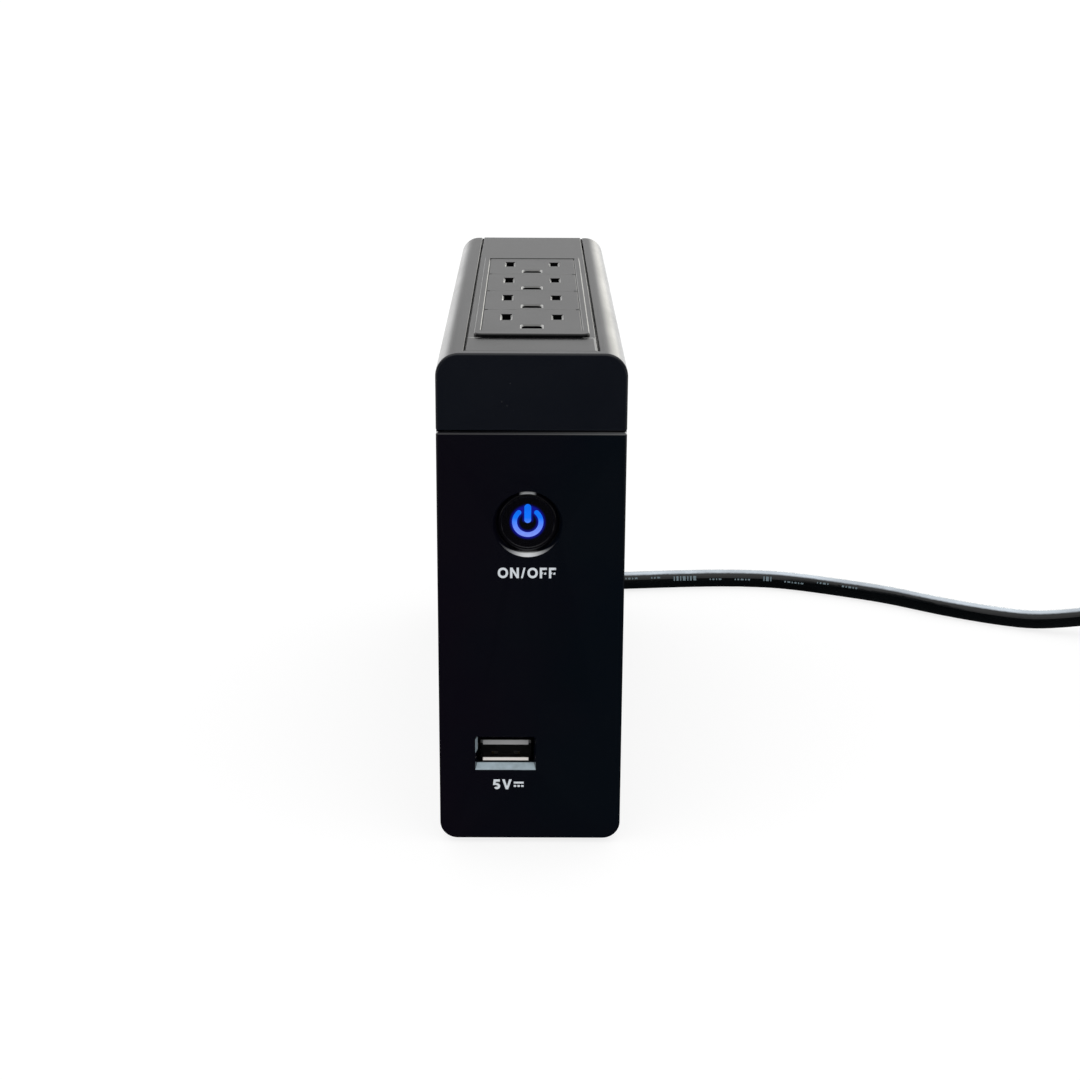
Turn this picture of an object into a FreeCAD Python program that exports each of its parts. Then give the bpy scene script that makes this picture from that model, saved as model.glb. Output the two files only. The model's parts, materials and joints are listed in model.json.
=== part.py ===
# A slim desktop uninterruptible power supply, as separate pieces.
# Frame: millimetres, +Z up, front face towards -Y, X to the right seen from the front.
# The origin is the centre of the base footprint, on the plane the rubber feet stand on.
# The case stands on edge; the outlets face up, and the cord leaves at the rear and lies
# on the table to the right, where it turns back to a plug that points to the front.
import FreeCAD, Part
import math
import os

import Sketcher
from FreeCAD import Placement, Rotation, Vector

os.makedirs("parts", exist_ok=True)
doc = FreeCAD.newDocument("slim_ups")

# ------------------------------------------------------------------ driving dimensions
SIZES = [
    # case
    ("body_width", 44.4, "over both side covers"),
    ("body_height", 122.3, "bezel bottom to top strip"),
    ("body_depth", 177.0, "front face to rear edge of the covers"),
    ("foot_height", 1.2, "how far the feet hold the case off the table"),
    ("wall", 2.0, "cover wall"),
    ("corner_top", 5.4, "outer radius of the two top edges"),
    ("corner_base", 4.3, "outer radius of the two bottom edges"),
    ("bezel_thick", 2.8, "front bezel and front panel plate"),
    ("bezel_round", 0.6, "rounding of the bezel's front edge"),
    ("seam_height", 105.1, "seam between front panel and upper bezel, above the table"),
    ("seam_gap", 0.5, "open gap of that seam"),
    ("groove_middle", 15.5, "half spacing of the two long grooves"),
    ("groove_width", 0.5, "width of each long groove"),
    ("strip_thick", 2.0, "top and base strips"),
    ("lip_reach", 13.4, "where the cover lips end, from the middle"),
    ("lip_thick", 1.6, "cover lips under the strips"),
    ("lip_root", 17.45, "where the lips step up to the cover wall"),
    ("slip", 0.1, "assembly clearance"),
    # outlet block
    ("outlet_pitch", 26.8, "receptacle spacing"),
    ("outlet_first", 40.4, "front face to first blade row"),
    ("blade_spacing", 12.7, "between line and neutral blades"),
    ("earth_offset", 11.9, "blade row to earth hole"),
    ("block_half", 13.9, "half width of the outlet frame"),
    ("block_front", 18.8, "front face to outlet frame"),
    ("block_length", 115.1, "outlet frame length"),
    ("block_raise", 0.8, "outlet frame stands above the strip"),
    ("block_body", 12.95, "half width of the outlet body under the strip"),
    ("block_drop", 22.0, "outlet body below the strip top"),
    ("face_half", 12.2, "half width of the receptacle face"),
    ("face_sunk", 0.12, "receptacle face below the frame's rim"),
    ("slot_wide", 2.1, "blade slot width"),
    ("slot_neutral", 7.9, "neutral slot length"),
    ("slot_line", 6.7, "line slot length"),
    ("earth_wide", 4.9, "earth hole width"),
    ("earth_long", 5.1, "earth hole length"),
    # power button
    ("button_across", -0.8, "button centre from the middle"),
    ("button_up", 82.5, "button centre above the table"),
    ("button_well", 8.2, "radius of the bevelled well"),
    ("button_hole", 7.55, "radius of the panel's hole"),
    ("button_cap", 7.4, "radius of the cap"),
    ("button_bevel", 2.1, "depth of the bevelled well"),
    ("button_sunk", 2.1, "cap below the panel face"),
    # USB port
    ("usb_across", -6.05, "port centre from the middle"),
    ("usb_up", 24.08, "port centre above the table"),
    ("usb_shell_wide", 13.1, "connector shell"),
    ("usb_shell_high", 5.7, "connector shell"),
    ("usb_sunk", 2.5, "depth of the tapered recess"),
    # inside
    ("board_thick", 1.6, "circuit boards"),
    ("cell_dia", 18.4, "battery cell"),
    ("cell_length", 65.0, "battery cell"),
    ("cell_pitch_up", 19.0, "battery cell spacing up"),
    ("cell_pitch_across", 19.2, "battery cell spacing across"),
    # rear
    ("rear_thick", 2.5, "rear panel"),
    ("rear_inset", 1.5, "rear panel in from the covers' rear edge"),
    ("cord_dia", 5.9, "cord jacket"),
    ("cord_across", -8.0, "cord exit from the middle"),
    ("cord_up", 15.5, "cord exit above the table"),
    ("breaker_across", 8.0, "breaker from the middle"),
    ("breaker_up", 86.0, "breaker above the table"),
    ("breaker_neck", 4.8, "radius of the breaker's threaded neck"),
    # feet and screws
    ("foot_dia", 9.0, "rubber foot"),
    ("foot_recess", 0.8, "foot recess depth"),
    ("foot_across", 9.6, "feet from the middle"),
    ("foot_along", 74.0, "feet from the middle, front to rear"),
    ("screw_core", 1.3, "radius of the pilot hole and screw core"),
    ("screw_clear", 1.7, "radius of the clearance hole"),
    ("screw_head", 2.9, "radius of a screw head"),
    ("base_screw_across", 10.7, "base screws from the middle"),
    ("base_screw_along", 52.0, "base screws from the middle, front to rear"),
    ("rear_screw_across", 16.6, "rear screws from the middle"),
    ("rear_screw_low", 8.5, "lower rear screws above the table"),
    ("rear_screw_high", 115.9, "upper rear screws above the table"),
]


class Size:
    """A length together with the spreadsheet expression that gives it."""

    def __init__(self, value, text=None):
        self.value = float(value)
        self.text = text or repr(self.value)

    def __add__(self, other):
        other = size(other)
        return Size(self.value + other.value, f"({self.text} + {other.text})")

    def __sub__(self, other):
        other = size(other)
        return Size(self.value - other.value, f"({self.text} - {other.text})")

    def __mul__(self, other):
        other = size(other)
        return Size(self.value * other.value, f"({self.text} * {other.text})")

    def __truediv__(self, other):
        other = size(other)
        return Size(self.value / other.value, f"({self.text} / {other.text})")

    def __neg__(self):
        return Size(-self.value, f"(-1 * {self.text})")

    __radd__ = __add__

    def __rsub__(self, other):
        return size(other) - self


def size(x):
    return x if isinstance(x, Size) else Size(x)


class Dims:
    """Each driving dimension as a Size, under its alias."""


dims = Dims()
sheet = doc.addObject("Spreadsheet::Sheet", "dims")
for row, (alias, value, note) in enumerate(SIZES, 1):
    sheet.set(f"A{row}", alias)
    sheet.set(f"B{row}", str(value))
    sheet.set(f"C{row}", note)
    sheet.setAlias(f"B{row}", alias)
    setattr(dims, alias, Size(value, f"dims.{alias}"))
doc.recompute()

# ------------------------------------------------------------------ shared levels and places
bottom = dims.foot_height  # underside of the case
top = bottom + dims.body_height
front = -dims.body_depth / 2
rear = dims.body_depth / 2  # rear edge of the covers
bezel_back = front + dims.bezel_thick  # also the front end of the covers
half_width = dims.body_width / 2
wall_inside = half_width - dims.wall
groove_outer = dims.groove_middle + dims.groove_width / 2
groove_inner = dims.groove_middle - dims.groove_width / 2
rear_outside = rear - dims.rear_inset  # outer face of the rear panel
rear_inside = rear_outside - dims.rear_thick

small_pilot = 1.05  # radius of the pilot holes for the small screws
small_core = 1.03  # radius of the small screws' cores
fit = 0.02  # clearance that keeps touching pieces apart

main_board_left = Size(-16.0)
main_board_right = main_board_left + dims.board_thick
main_board_holes = [(-62.0, 16.0), (-2.0, 16.0), (-62.0, 92.0), (-2.0, 92.0)]  # (y, z)
front_board_front = Size(-72.0)
front_board_back = front_board_front + dims.board_thick
front_posts = [(x, z) for x in (-14.8, 14.8) for z in (11.0, 96.0)]
outlet_screw_rows = (-77.0, 52.5)  # y of the screws that fasten the outlet housing
outlet_tab_low, outlet_tab_high = 113.4, 115.5
pack_bottom, pack_top = 11.2, 68.6  # battery holders

# ------------------------------------------------------------------ helpers
pieces = []  # the objects to export, each under its Label


def keep(obj):
    pieces.append(obj)
    return obj


def bind(obj, prop, amount):
    """Drives a property from the spreadsheet, where its value depends on it."""
    if "dims." in amount.text:
        obj.setExpression(prop, amount.text)


def set_size(obj, prop, amount):
    amount = size(amount)
    setattr(obj, prop, amount.value)
    bind(obj, prop, amount)


def spread(middle, half):
    """The range that reaches half to both sides of the middle."""
    return size(middle) - half, size(middle) + half


def on_side(side, x0, x1):
    """The range x0 to x1, mirrored to the left when side is -1."""
    return (size(x0), size(x1)) if side > 0 else (-size(x1), -size(x0))


def rect(x0, x1, y0, y1):
    return [(x0, y0), (x1, y0), (x1, y1), (x0, y1)]


def four(across, depth):
    """Four places, mirrored about both middles."""
    return [(across * i, depth * j) for i in (-1, 1) for j in (-1, 1)]


def new_body(name):
    return doc.addObject("PartDesign::Body", name)


def sketch(body, facing, level, loops):
    """A sketch parallel to an origin plane, at a level along the axis that crosses it.

    A loop is a list of polygon corners, or a tuple of a circle's centre and radius.
    """
    sk = body.newObject("Sketcher::SketchObject", "sketch")
    planes = [o for o in body.Origin.OriginFeatures if o.Role == facing + "_Plane"]
    sk.AttachmentSupport = [(planes[0], "")]
    sk.MapMode = "FlatFace"
    level = size(level)
    offset = -level if facing == "XZ" else level  # the XZ plane faces -Y
    sk.AttachmentOffset = Placement(Vector(0, 0, offset.value), Rotation())
    bind(sk, "AttachmentOffset.Base.z", offset)
    constraints, measured = [], []

    def measure(kind, where, amount):
        amount = size(amount)
        measured.append((len(constraints), amount))
        constraints.append(Sketcher.Constraint(kind, *where, amount.value))

    def pin(geometry, point, x, y):
        measure("DistanceX", (-1, 1, geometry, point), x)
        measure("DistanceY", (-1, 1, geometry, point), y)

    for loop in loops:
        first = sk.GeometryCount
        if isinstance(loop, list):
            count = len(loop)
            ends = [Vector(size(x).value, size(y).value, 0) for x, y in loop]
            for k in range(count):
                sk.addGeometry(Part.LineSegment(ends[k], ends[(k + 1) % count]), False)
            for k in range(count):
                joint = (first + k, 2, first + (k + 1) % count, 1)
                constraints.append(Sketcher.Constraint("Coincident", *joint))
            for k, (x, y) in enumerate(loop):
                pin(first + k, 1, x, y)
        else:
            x, y, radius = map(size, loop)
            centre = Vector(x.value, y.value, 0)
            sk.addGeometry(Part.Circle(centre, Vector(0, 0, 1), radius.value), False)
            pin(first, 3, x, y)
            measure("Radius", (first,), radius)
    sk.addConstraint(constraints)
    for k, amount in measured:
        if "dims." in amount.text:
            sk.renameConstraint(k, f"size{k}")
            bind(sk, f"Constraints.size{k}", amount)
    sk.Visibility = False
    return sk


def pad(body, facing, low, high, loops):
    """Adds the loops' prism between two levels."""
    low, high = size(low), size(high)
    profile = sketch(body, facing, high if facing == "XZ" else low, loops)
    feature = body.newObject("PartDesign::Pad", "pad")
    feature.Profile = profile
    set_size(feature, "Length", high - low)


def pocket(body, facing, low, high, loops):
    """Cuts the loops' prism between two levels, and makes sure that it cut something."""
    low, high = size(low), size(high)
    doc.recompute()
    before = body.Shape.Volume
    profile = sketch(body, facing, low if facing == "XZ" else high, loops)
    feature = body.newObject("PartDesign::Pocket", "pocket")
    feature.Profile = profile
    set_size(feature, "Length", high - low)
    doc.recompute()
    assert body.Shape.Volume < before - 0.01, f"{body.Label}: a pocket cut nothing"


# Edges are picked by tests on their bounding boxes.
def near(a, b):
    return abs(a - size(b).value) < 0.02


def along(edge, axis):
    lengths = {"X": edge.XLength, "Y": edge.YLength, "Z": edge.ZLength}
    return all(v <= 1e-4 for k, v in lengths.items() if k != axis)


def at_y(edge, y):
    return near(edge.YMin, y) and near(edge.YMax, y)


def at_z(edge, z):
    return near(edge.ZMin, z) and near(edge.ZMax, z)


def long_edge(x, *levels):
    """A test for the edges along Y at one x, at any of the levels."""
    return lambda edge: (
        along(edge, "Y")
        and near(edge.XMin, x)
        and any(near(edge.ZMin, z) for z in levels)
    )


def picked(shape, test):
    numbers = [k for k, e in enumerate(shape.Edges, 1) if test(e.BoundBox)]
    assert numbers, "no edge found"
    return numbers


def dress(body, kind, prop, amount, test):
    doc.recompute()
    base = body.Tip
    feature = body.newObject("PartDesign::" + kind, kind.lower())
    feature.Base = (base, [f"Edge{k}" for k in picked(base.Shape, test)])
    set_size(feature, prop, amount)
    doc.recompute()
    assert feature.isValid() and not feature.Shape.isNull(), f"{body.Label}: {kind} failed"
    return feature


def fillet(body, radius, test):
    return dress(body, "Fillet", "Radius", radius, test)


def chamfer(body, width, test):
    return dress(body, "Chamfer", "Size", width, test)


TURN = {
    "X": Rotation(Vector(0, 1, 0), 90),
    "Y": Rotation(Vector(1, 0, 0), -90),
    "Z": Rotation(),
}


def place(obj, x, y, z, rotation=None):
    spots = [size(c) for c in (x, y, z)]
    obj.Placement = Placement(Vector(*[c.value for c in spots]), rotation or Rotation())
    for axis, spot in zip("xyz", spots):
        bind(obj, f"Placement.Base.{axis}", spot)
    return obj


def box(name, x0, x1, y0, y1, z0, z1):
    obj = doc.addObject("Part::Box", name)
    for prop, low, high in (("Length", x0, x1), ("Width", y0, y1), ("Height", z0, z1)):
        set_size(obj, prop, size(high) - low)
    return place(obj, x0, y0, z0)


def cyl(name, axis, x, y, z, radius, length):
    """A cylinder that starts at a point and runs in the positive direction of an axis."""
    obj = doc.addObject("Part::Cylinder", name)
    set_size(obj, "Radius", radius)
    set_size(obj, "Height", length)
    return place(obj, x, y, z, TURN[axis])


def cone(name, axis, x, y, z, radius1, radius2, length):
    obj = doc.addObject("Part::Cone", name)
    for prop, amount in (("Radius1", radius1), ("Radius2", radius2), ("Height", length)):
        set_size(obj, prop, amount)
    return place(obj, x, y, z, TURN[axis])


def torus(name, x, y, z, radius, thick, rotation):
    obj = doc.addObject("Part::Torus", name)
    obj.Radius1, obj.Radius2 = radius, thick
    return place(obj, x, y, z, rotation)


def cut(name, base, tool):
    obj = doc.addObject("Part::Cut", name)
    obj.Base, obj.Tool = base, tool
    return obj


def fuse(name, parts):
    obj = doc.addObject("Part::MultiFuse", name)
    obj.Shapes = parts
    obj.Refine = True
    return obj


def group(name, parts):
    obj = doc.addObject("Part::Compound", name)
    obj.Links = parts
    return obj


def soften(name, base, amount, test, kind="Fillet"):
    """Fillets or chamfers the picked edges of a Part object."""
    doc.recompute()
    obj = doc.addObject("Part::" + kind, name)
    obj.Base = base
    obj.Edges = [(k, amount, amount) for k in picked(base.Shape, test)]
    return obj


def bar_along(points, direction, radius, ruled=False):
    """A round bar through close points, lofted through circles that turn without twisting."""
    final = len(points) - 1
    last = Vector(*direction)
    last.normalize()
    turn = Rotation(Vector(0, 0, 1), last)
    rings = []
    for k, point in enumerate(points):
        heading = points[min(k + 1, final)] - points[k - 1] if k else Vector(last)
        heading.normalize()
        turn = Rotation(last, heading).multiply(turn)
        last = heading
        circle = Part.Circle(Vector(0, 0, 0), Vector(0, 0, 1), radius)
        ring = Part.Wire([circle.toShape()])
        ring.Placement = Placement(point, turn)
        rings.append(ring)
    return Part.makeLoft(rings, True, ruled)


def smooth(keys, step):
    """Points on a smooth curve through the keys.

    A key is (point, direction, reach before, reach after); all but the point may be left out.
    """
    points = [Vector(*key[0]) for key in keys]
    final = len(points) - 1
    headings = []
    for k, key in enumerate(keys):
        if len(key) > 1:
            heading = Vector(*key[1])
        else:
            heading = points[min(k + 1, final)] - points[max(k - 1, 0)]
        heading.normalize()
        headings.append(heading)
    curve = [points[0]]
    for i in range(final):
        a, b = points[i], points[i + 1]
        length = (b - a).Length
        leave = headings[i] * (keys[i][3] if len(keys[i]) > 3 else length)
        arrive = headings[i + 1] * (keys[i + 1][2] if len(keys[i + 1]) > 2 else length)
        count = max(3, int(round(length / step)))
        for k in range(1, count + 1):
            u = k / count
            from_a, from_leave = 2 * u**3 - 3 * u**2 + 1, u**3 - 2 * u**2 + u
            from_b, from_arrive = -2 * u**3 + 3 * u**2, u**3 - u**2
            curve.append(a * from_a + leave * from_leave + b * from_b + arrive * from_arrive)
    return curve


def evenly(points, step):
    """The same curve with its points at equal distances."""
    reached = [0.0]
    for a, b in zip(points, points[1:]):
        reached.append(reached[-1] + (b - a).Length)
    count = int(round(reached[-1] / step))
    result, j = [], 0
    for k in range(count + 1):
        target = reached[-1] * k / count
        while j < len(points) - 2 and reached[j + 1] < target:
            j += 1
        u = (target - reached[j]) / (reached[j + 1] - reached[j])
        result.append(points[j] + (points[j + 1] - points[j]) * min(max(u, 0.0), 1.0))
    return result


# ------------------------------------------------------------------ side covers
def side_cover(name, side):
    """Outer wall with rounded long edges, and lips that carry the top and base strips."""
    body = keep(new_body(name))
    top_lip = top - dims.strip_thick - dims.slip  # upper face of the top lip
    base_lip = bottom + dims.strip_thick + dims.slip  # lower face of the base lip
    base_lip_top = base_lip + dims.lip_thick
    top_lip_base = top_lip - dims.lip_thick
    floor, ceiling = bottom + dims.wall, top - dims.wall
    outline = [
        (groove_outer, top), (half_width, top), (half_width, bottom), (groove_outer, bottom),
        (groove_outer, base_lip), (dims.lip_reach, base_lip), (dims.lip_reach, base_lip_top),
        (dims.lip_root, base_lip_top), (dims.lip_root, floor), (wall_inside, floor),
        (wall_inside, ceiling), (dims.lip_root, ceiling), (dims.lip_root, top_lip_base),
        (dims.lip_reach, top_lip_base), (dims.lip_reach, top_lip), (groove_outer, top_lip),
    ]  # (x, z), for the right-hand cover
    pad(body, "XZ", bezel_back, rear, [[(x * side, z) for x, z in outline]])

    outer_x, inner_x = half_width * side, wall_inside * side
    fillet(body, dims.corner_top, long_edge(outer_x, top))
    fillet(body, dims.corner_base, long_edge(outer_x, bottom))
    fillet(body, dims.corner_top - dims.wall - 1.0, long_edge(inner_x, ceiling))
    fillet(body, dims.corner_base - dims.wall, long_edge(inner_x, floor))
    # outer rim of the rear end
    fillet(
        body, 0.6,
        lambda edge: at_y(edge, rear)
        and (
            near(edge.XMax, outer_x)
            or near(edge.XMin, outer_x)
            or (near(edge.ZMin, bottom) and abs(edge.Center.x) > 15.8)
        ),
    )
    fillet(body, 0.25, long_edge(groove_outer * side, top, bottom))

    def inside(x0, x1, y0, y1):
        return [rect(*on_side(side, x0, x1), y0, y1)]

    # stop rib in front of the rear panel
    stop_front = rear_inside - 2.0
    pad(body, "XY", 20, 100, inside(wall_inside - 2.4, wall_inside + 0.5, stop_front, rear_inside))
    # rear screw bosses
    for low, high in ((base_lip_top - 0.3, 12.4), (112.2, top_lip_base + 0.3)):
        boss = inside(dims.lip_reach, wall_inside + 0.3, rear_inside - 12.0, rear_inside)
        pad(body, "XY", low, high, boss)
    pocket(body, "XZ", rear_inside - 10.0, rear_inside, [
        (dims.rear_screw_across * side, z, dims.screw_core)
        for z in (dims.rear_screw_low, dims.rear_screw_high)
    ])
    # base screw bosses on the lower lip
    screw_rows = [dims.base_screw_along * k for k in (-1, 1)]
    for y in screw_rows:
        boss = inside(8.0, dims.lip_reach + 0.6, *spread(y, 3.5))
        pad(body, "XY", base_lip, base_lip + 6.7, boss)
    pilots = [(dims.base_screw_across * side, y, dims.screw_core) for y in screw_rows]
    pocket(body, "XY", base_lip, base_lip + 5.6, pilots)
    # shelf that carries the battery pack
    pad(body, "XY", pack_bottom - 1.0, pack_bottom, inside(15.0, wall_inside + 0.3, 12.0, 66.0))
    if side < 0:
        # standoffs for the main board
        for y, z in main_board_holes:
            pad(body, "YZ", -(wall_inside + 0.3), main_board_left, [(y, z, 3.2)])
        pilots = [(y, z, small_pilot) for y, z in main_board_holes]
        pocket(body, "YZ", -(wall_inside - 0.4), main_board_left, pilots)
    else:
        # stiffening ribs
        for y in (-60.0, -25.0):
            rib = inside(wall_inside - 1.2, wall_inside + 0.3, *spread(y, 0.6))
            pad(body, "XY", 12, 98, rib)


side_cover("left_cover", -1)
side_cover("right_cover", 1)

# ------------------------------------------------------------------ top and base strips
block_start = front + dims.block_front
block_end = block_start + dims.block_length


def top_strip():
    body = keep(new_body("top_strip"))
    under = top - dims.strip_thick
    overlap = 0.7  # of the outlet frame over the strip's opening
    opening = dims.block_half - overlap
    pad(body, "XY", under, top, [rect(-groove_inner, groove_inner, bezel_back, rear)])
    pocket(body, "XY", under, top, [
        rect(-opening, opening, block_start + overlap, block_end - overlap)
    ])
    fillet(body, 1.6, lambda edge: along(edge, "Z") and near(abs(edge.Center.x), opening))
    fillet(
        body, 0.25,
        lambda edge: along(edge, "Y")
        and near(edge.ZMin, top)
        and near(abs(edge.Center.x), groove_inner),
    )
    chamfer(body, 0.2, lambda edge: at_z(edge, top) and at_y(edge, bezel_back))
    # ears that close the rear ends of the grooves
    for side in (-1, 1):
        ear = rect(*on_side(side, groove_inner - 0.15, groove_outer - 0.03), rear - 1.3, rear - 0.1)
        pad(body, "XY", under, top - 0.3, [ear])
    # posts for the outlet screws
    post_low = outlet_tab_high + 0.1
    for y in outlet_screw_rows:
        pad(body, "XY", post_low, under, [(0, y, 3.2)])
    pocket(body, "XY", post_low, post_low + 5.0, [(0, y, small_pilot) for y in outlet_screw_rows])


def base_strip():
    body = keep(new_body("base_strip"))
    upper = bottom + dims.strip_thick
    pad(body, "XY", bottom, upper, [rect(-groove_inner, groove_inner, bezel_back, rear)])
    pocket(body, "XY", bottom - 3.0, bottom + dims.foot_recess, [
        (x, y, dims.foot_dia / 2 + 0.1) for x, y in four(dims.foot_across, dims.foot_along)
    ])
    pocket(body, "XY", bottom, upper, [
        (x, y, dims.screw_clear)
        for x, y in four(dims.base_screw_across, dims.base_screw_along)
    ])
    # countersinks
    chamfer(
        body, 1.2,
        lambda edge: at_z(edge, bottom) and near(edge.XLength, dims.screw_clear * 2),
    )
    # two columns of vent slots
    pocket(body, "XY", bottom, upper, [
        rect(x, x + 9.0, -34.0 + 4.0 * k, -32.0 + 4.0 * k) for k in range(9) for x in (-10.5, 1.5)
    ])


def rubber_feet():
    feet = []
    for x, y in four(dims.foot_across, dims.foot_along):
        height = dims.foot_height + dims.foot_recess
        foot = cyl("foot", "Z", x, y, 0, dims.foot_dia / 2, height)
        feet.append(
            soften("foot_soft", foot, 0.5, lambda edge: edge.ZMax < 0.01 and edge.XLength > 5)
        )
    keep(group("rubber_feet", feet))


top_strip()
base_strip()
rubber_feet()

# ------------------------------------------------------------------ front bezel and panel
seam_top = dims.seam_height + dims.seam_gap / 2
seam_base = dims.seam_height - dims.seam_gap / 2
rim_half = 19.8  # half width of the rims that slide inside the covers


def inner_rim(body, low, high):
    thick = 1.5
    pad(body, "XZ", bezel_back, bezel_back + 5.0, [
        rect(-rim_half, rim_half, low, high),
        rect(*spread(0, rim_half - thick), size(low) + thick, size(high) - thick),
    ])


def front_bezel_upper():
    body = keep(new_body("front_bezel_upper"))
    pad(body, "XZ", front, bezel_back, [rect(-half_width, half_width, seam_top, top)])
    fillet(body, dims.corner_top, lambda edge: along(edge, "Y") and near(edge.ZMin, top))
    fillet(
        body, dims.bezel_round,
        lambda edge: at_y(edge, front) and not near(edge.ZMax, seam_top),
    )
    chamfer(body, 0.25, lambda edge: at_y(edge, front) and near(edge.ZMax, seam_top))
    inner_rim(body, seam_top + 0.6, 119.4)
    # shelf behind the seam, so that the gap is closed
    shelf = rect(*spread(0, rim_half - 2.0), seam_top - 2.0, seam_top + 1.0)
    pad(body, "XZ", bezel_back, bezel_back + 1.6, [shelf])


def front_panel():
    body = keep(new_body("front_panel"))
    pad(body, "XZ", front, bezel_back, [rect(-half_width, half_width, bottom, seam_base)])
    fillet(body, dims.corner_base, lambda edge: along(edge, "Y") and near(edge.ZMin, bottom))
    fillet(
        body, dims.bezel_round,
        lambda edge: at_y(edge, front) and not near(edge.ZMin, seam_base),
    )
    chamfer(body, 0.5, lambda edge: at_y(edge, front) and near(edge.ZMin, seam_base))
    inner_rim(body, 5.2, 102.6)
    # posts for the front board
    for x, z in front_posts:
        pad(body, "XZ", bezel_back - 0.3, front_board_front, [(x, z, 2.8)])
    pilots = [(x, z, small_pilot) for x, z in front_posts]
    pocket(body, "XZ", front_board_front - 10.0, front_board_front, pilots)
    button_opening(body)
    usb_opening(body)


def button_opening(body):
    """The button's hole with its bevelled well."""
    hole = (dims.button_across, dims.button_up, dims.button_hole)
    pocket(body, "XZ", front, bezel_back, [hole])
    well = chamfer(
        body, dims.button_well - dims.button_hole,
        lambda edge: at_y(edge, front) and near(edge.XLength, dims.button_hole * 2),
    )
    well.ChamferType = "Two distances"
    set_size(well, "Size2", dims.button_bevel)
    doc.recompute()

    def mouth_is_wide():
        edges = [e.BoundBox for e in body.Shape.Edges]
        return any(near(e.XLength, dims.button_well * 2) and near(e.YMax, front) for e in edges)

    # which face takes the first distance depends on the edge's own face order
    if not mouth_is_wide():
        well.FlipDirection = True
        doc.recompute()
    assert mouth_is_wide(), "the button's well has the wrong proportions"


def usb_opening(body):
    """A tapered recess, then a straight opening."""
    x, z = dims.usb_across, dims.usb_up
    recess_end = front + dims.usb_sunk
    mouth = rect(*spread(x, 7.4), *spread(z, 4.4))
    opening = rect(*spread(x, 6.85), *spread(z, 3.15))
    doc.recompute()
    wide = sketch(body, "XZ", front, [mouth])
    narrow = sketch(body, "XZ", recess_end, [opening])
    taper = body.newObject("PartDesign::SubtractiveLoft", "usb_taper")
    taper.Profile = wide
    taper.Sections = [narrow]
    doc.recompute()
    pocket(body, "XZ", recess_end - 0.05, bezel_back, [opening])


front_bezel_upper()
front_panel()

# ------------------------------------------------------------------ outlet block
rim_top = top + dims.block_raise
block_low = top - dims.block_drop
body_start, body_end = block_start + 1.0, block_end - 1.0  # outlet body under the strip
face_start = front + dims.outlet_first - 16.7
face_end = face_start + dims.outlet_pitch * 4
face_low = top - 3.2
face_top = rim_top - dims.face_sunk
blade_rows = [front + dims.outlet_first + dims.outlet_pitch * k for k in range(4)]
blade_half = dims.blade_spacing / 2
bus_level = top - 17.0
# the earth pin is longer than the blades, so its strip lies deeper
earth_level = bus_level - 2.6
bus_start = -62.0


def outlet_housing():
    body = keep(new_body("outlet_housing"))
    pad(body, "XY", top, rim_top, [
        rect(-dims.block_half, dims.block_half, block_start, block_end)
    ])
    fillet(body, 2.2, lambda edge: along(edge, "Z"))
    fillet(body, 0.45, lambda edge: at_z(edge, rim_top))
    pad(body, "XY", block_low, top, [
        rect(-dims.block_body, dims.block_body, body_start, body_end)
    ])
    fillet(body, 1.5, lambda edge: along(edge, "Z") and near(abs(edge.Center.x), dims.block_body))
    wall = 1.2
    pocket(body, "XY", block_low, top - 1.6, [
        rect(*spread(0, dims.block_body - wall), body_start + wall, body_end - wall)
    ])
    # opening for the receptacle face
    pocket(body, "XY", face_low, rim_top, [
        rect(*spread(0, dims.face_half + fit), face_start - fit, face_end + fit)
    ])
    chamfer(
        body, 0.25,
        lambda edge: at_z(edge, rim_top)
        and abs(edge.Center.x) < dims.face_half.value + 0.1
        and edge.YMin > face_start.value - 0.1
        and edge.YMax < face_end.value + 0.1,
    )
    # ledges inside that the face rests on
    for side in (-1, 1):
        across = on_side(side, dims.face_half - 1.6, dims.block_body - 1.1)
        ledge = rect(*across, body_start + 1.1, body_end - 1.1)
        pad(body, "XY", face_low - 1.4, face_low, [ledge])
    # tabs that fasten it to the top strip
    for y0, y1 in ((-80.6, body_start + 0.6), (body_end - 0.6, 56.1)):
        pad(body, "XY", outlet_tab_low, outlet_tab_high, [rect(-5.0, 5.0, y0, y1)])
    pocket(body, "XY", outlet_tab_low, outlet_tab_high, [
        (0, y, dims.screw_clear - 0.3) for y in outlet_screw_rows
    ])


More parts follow.
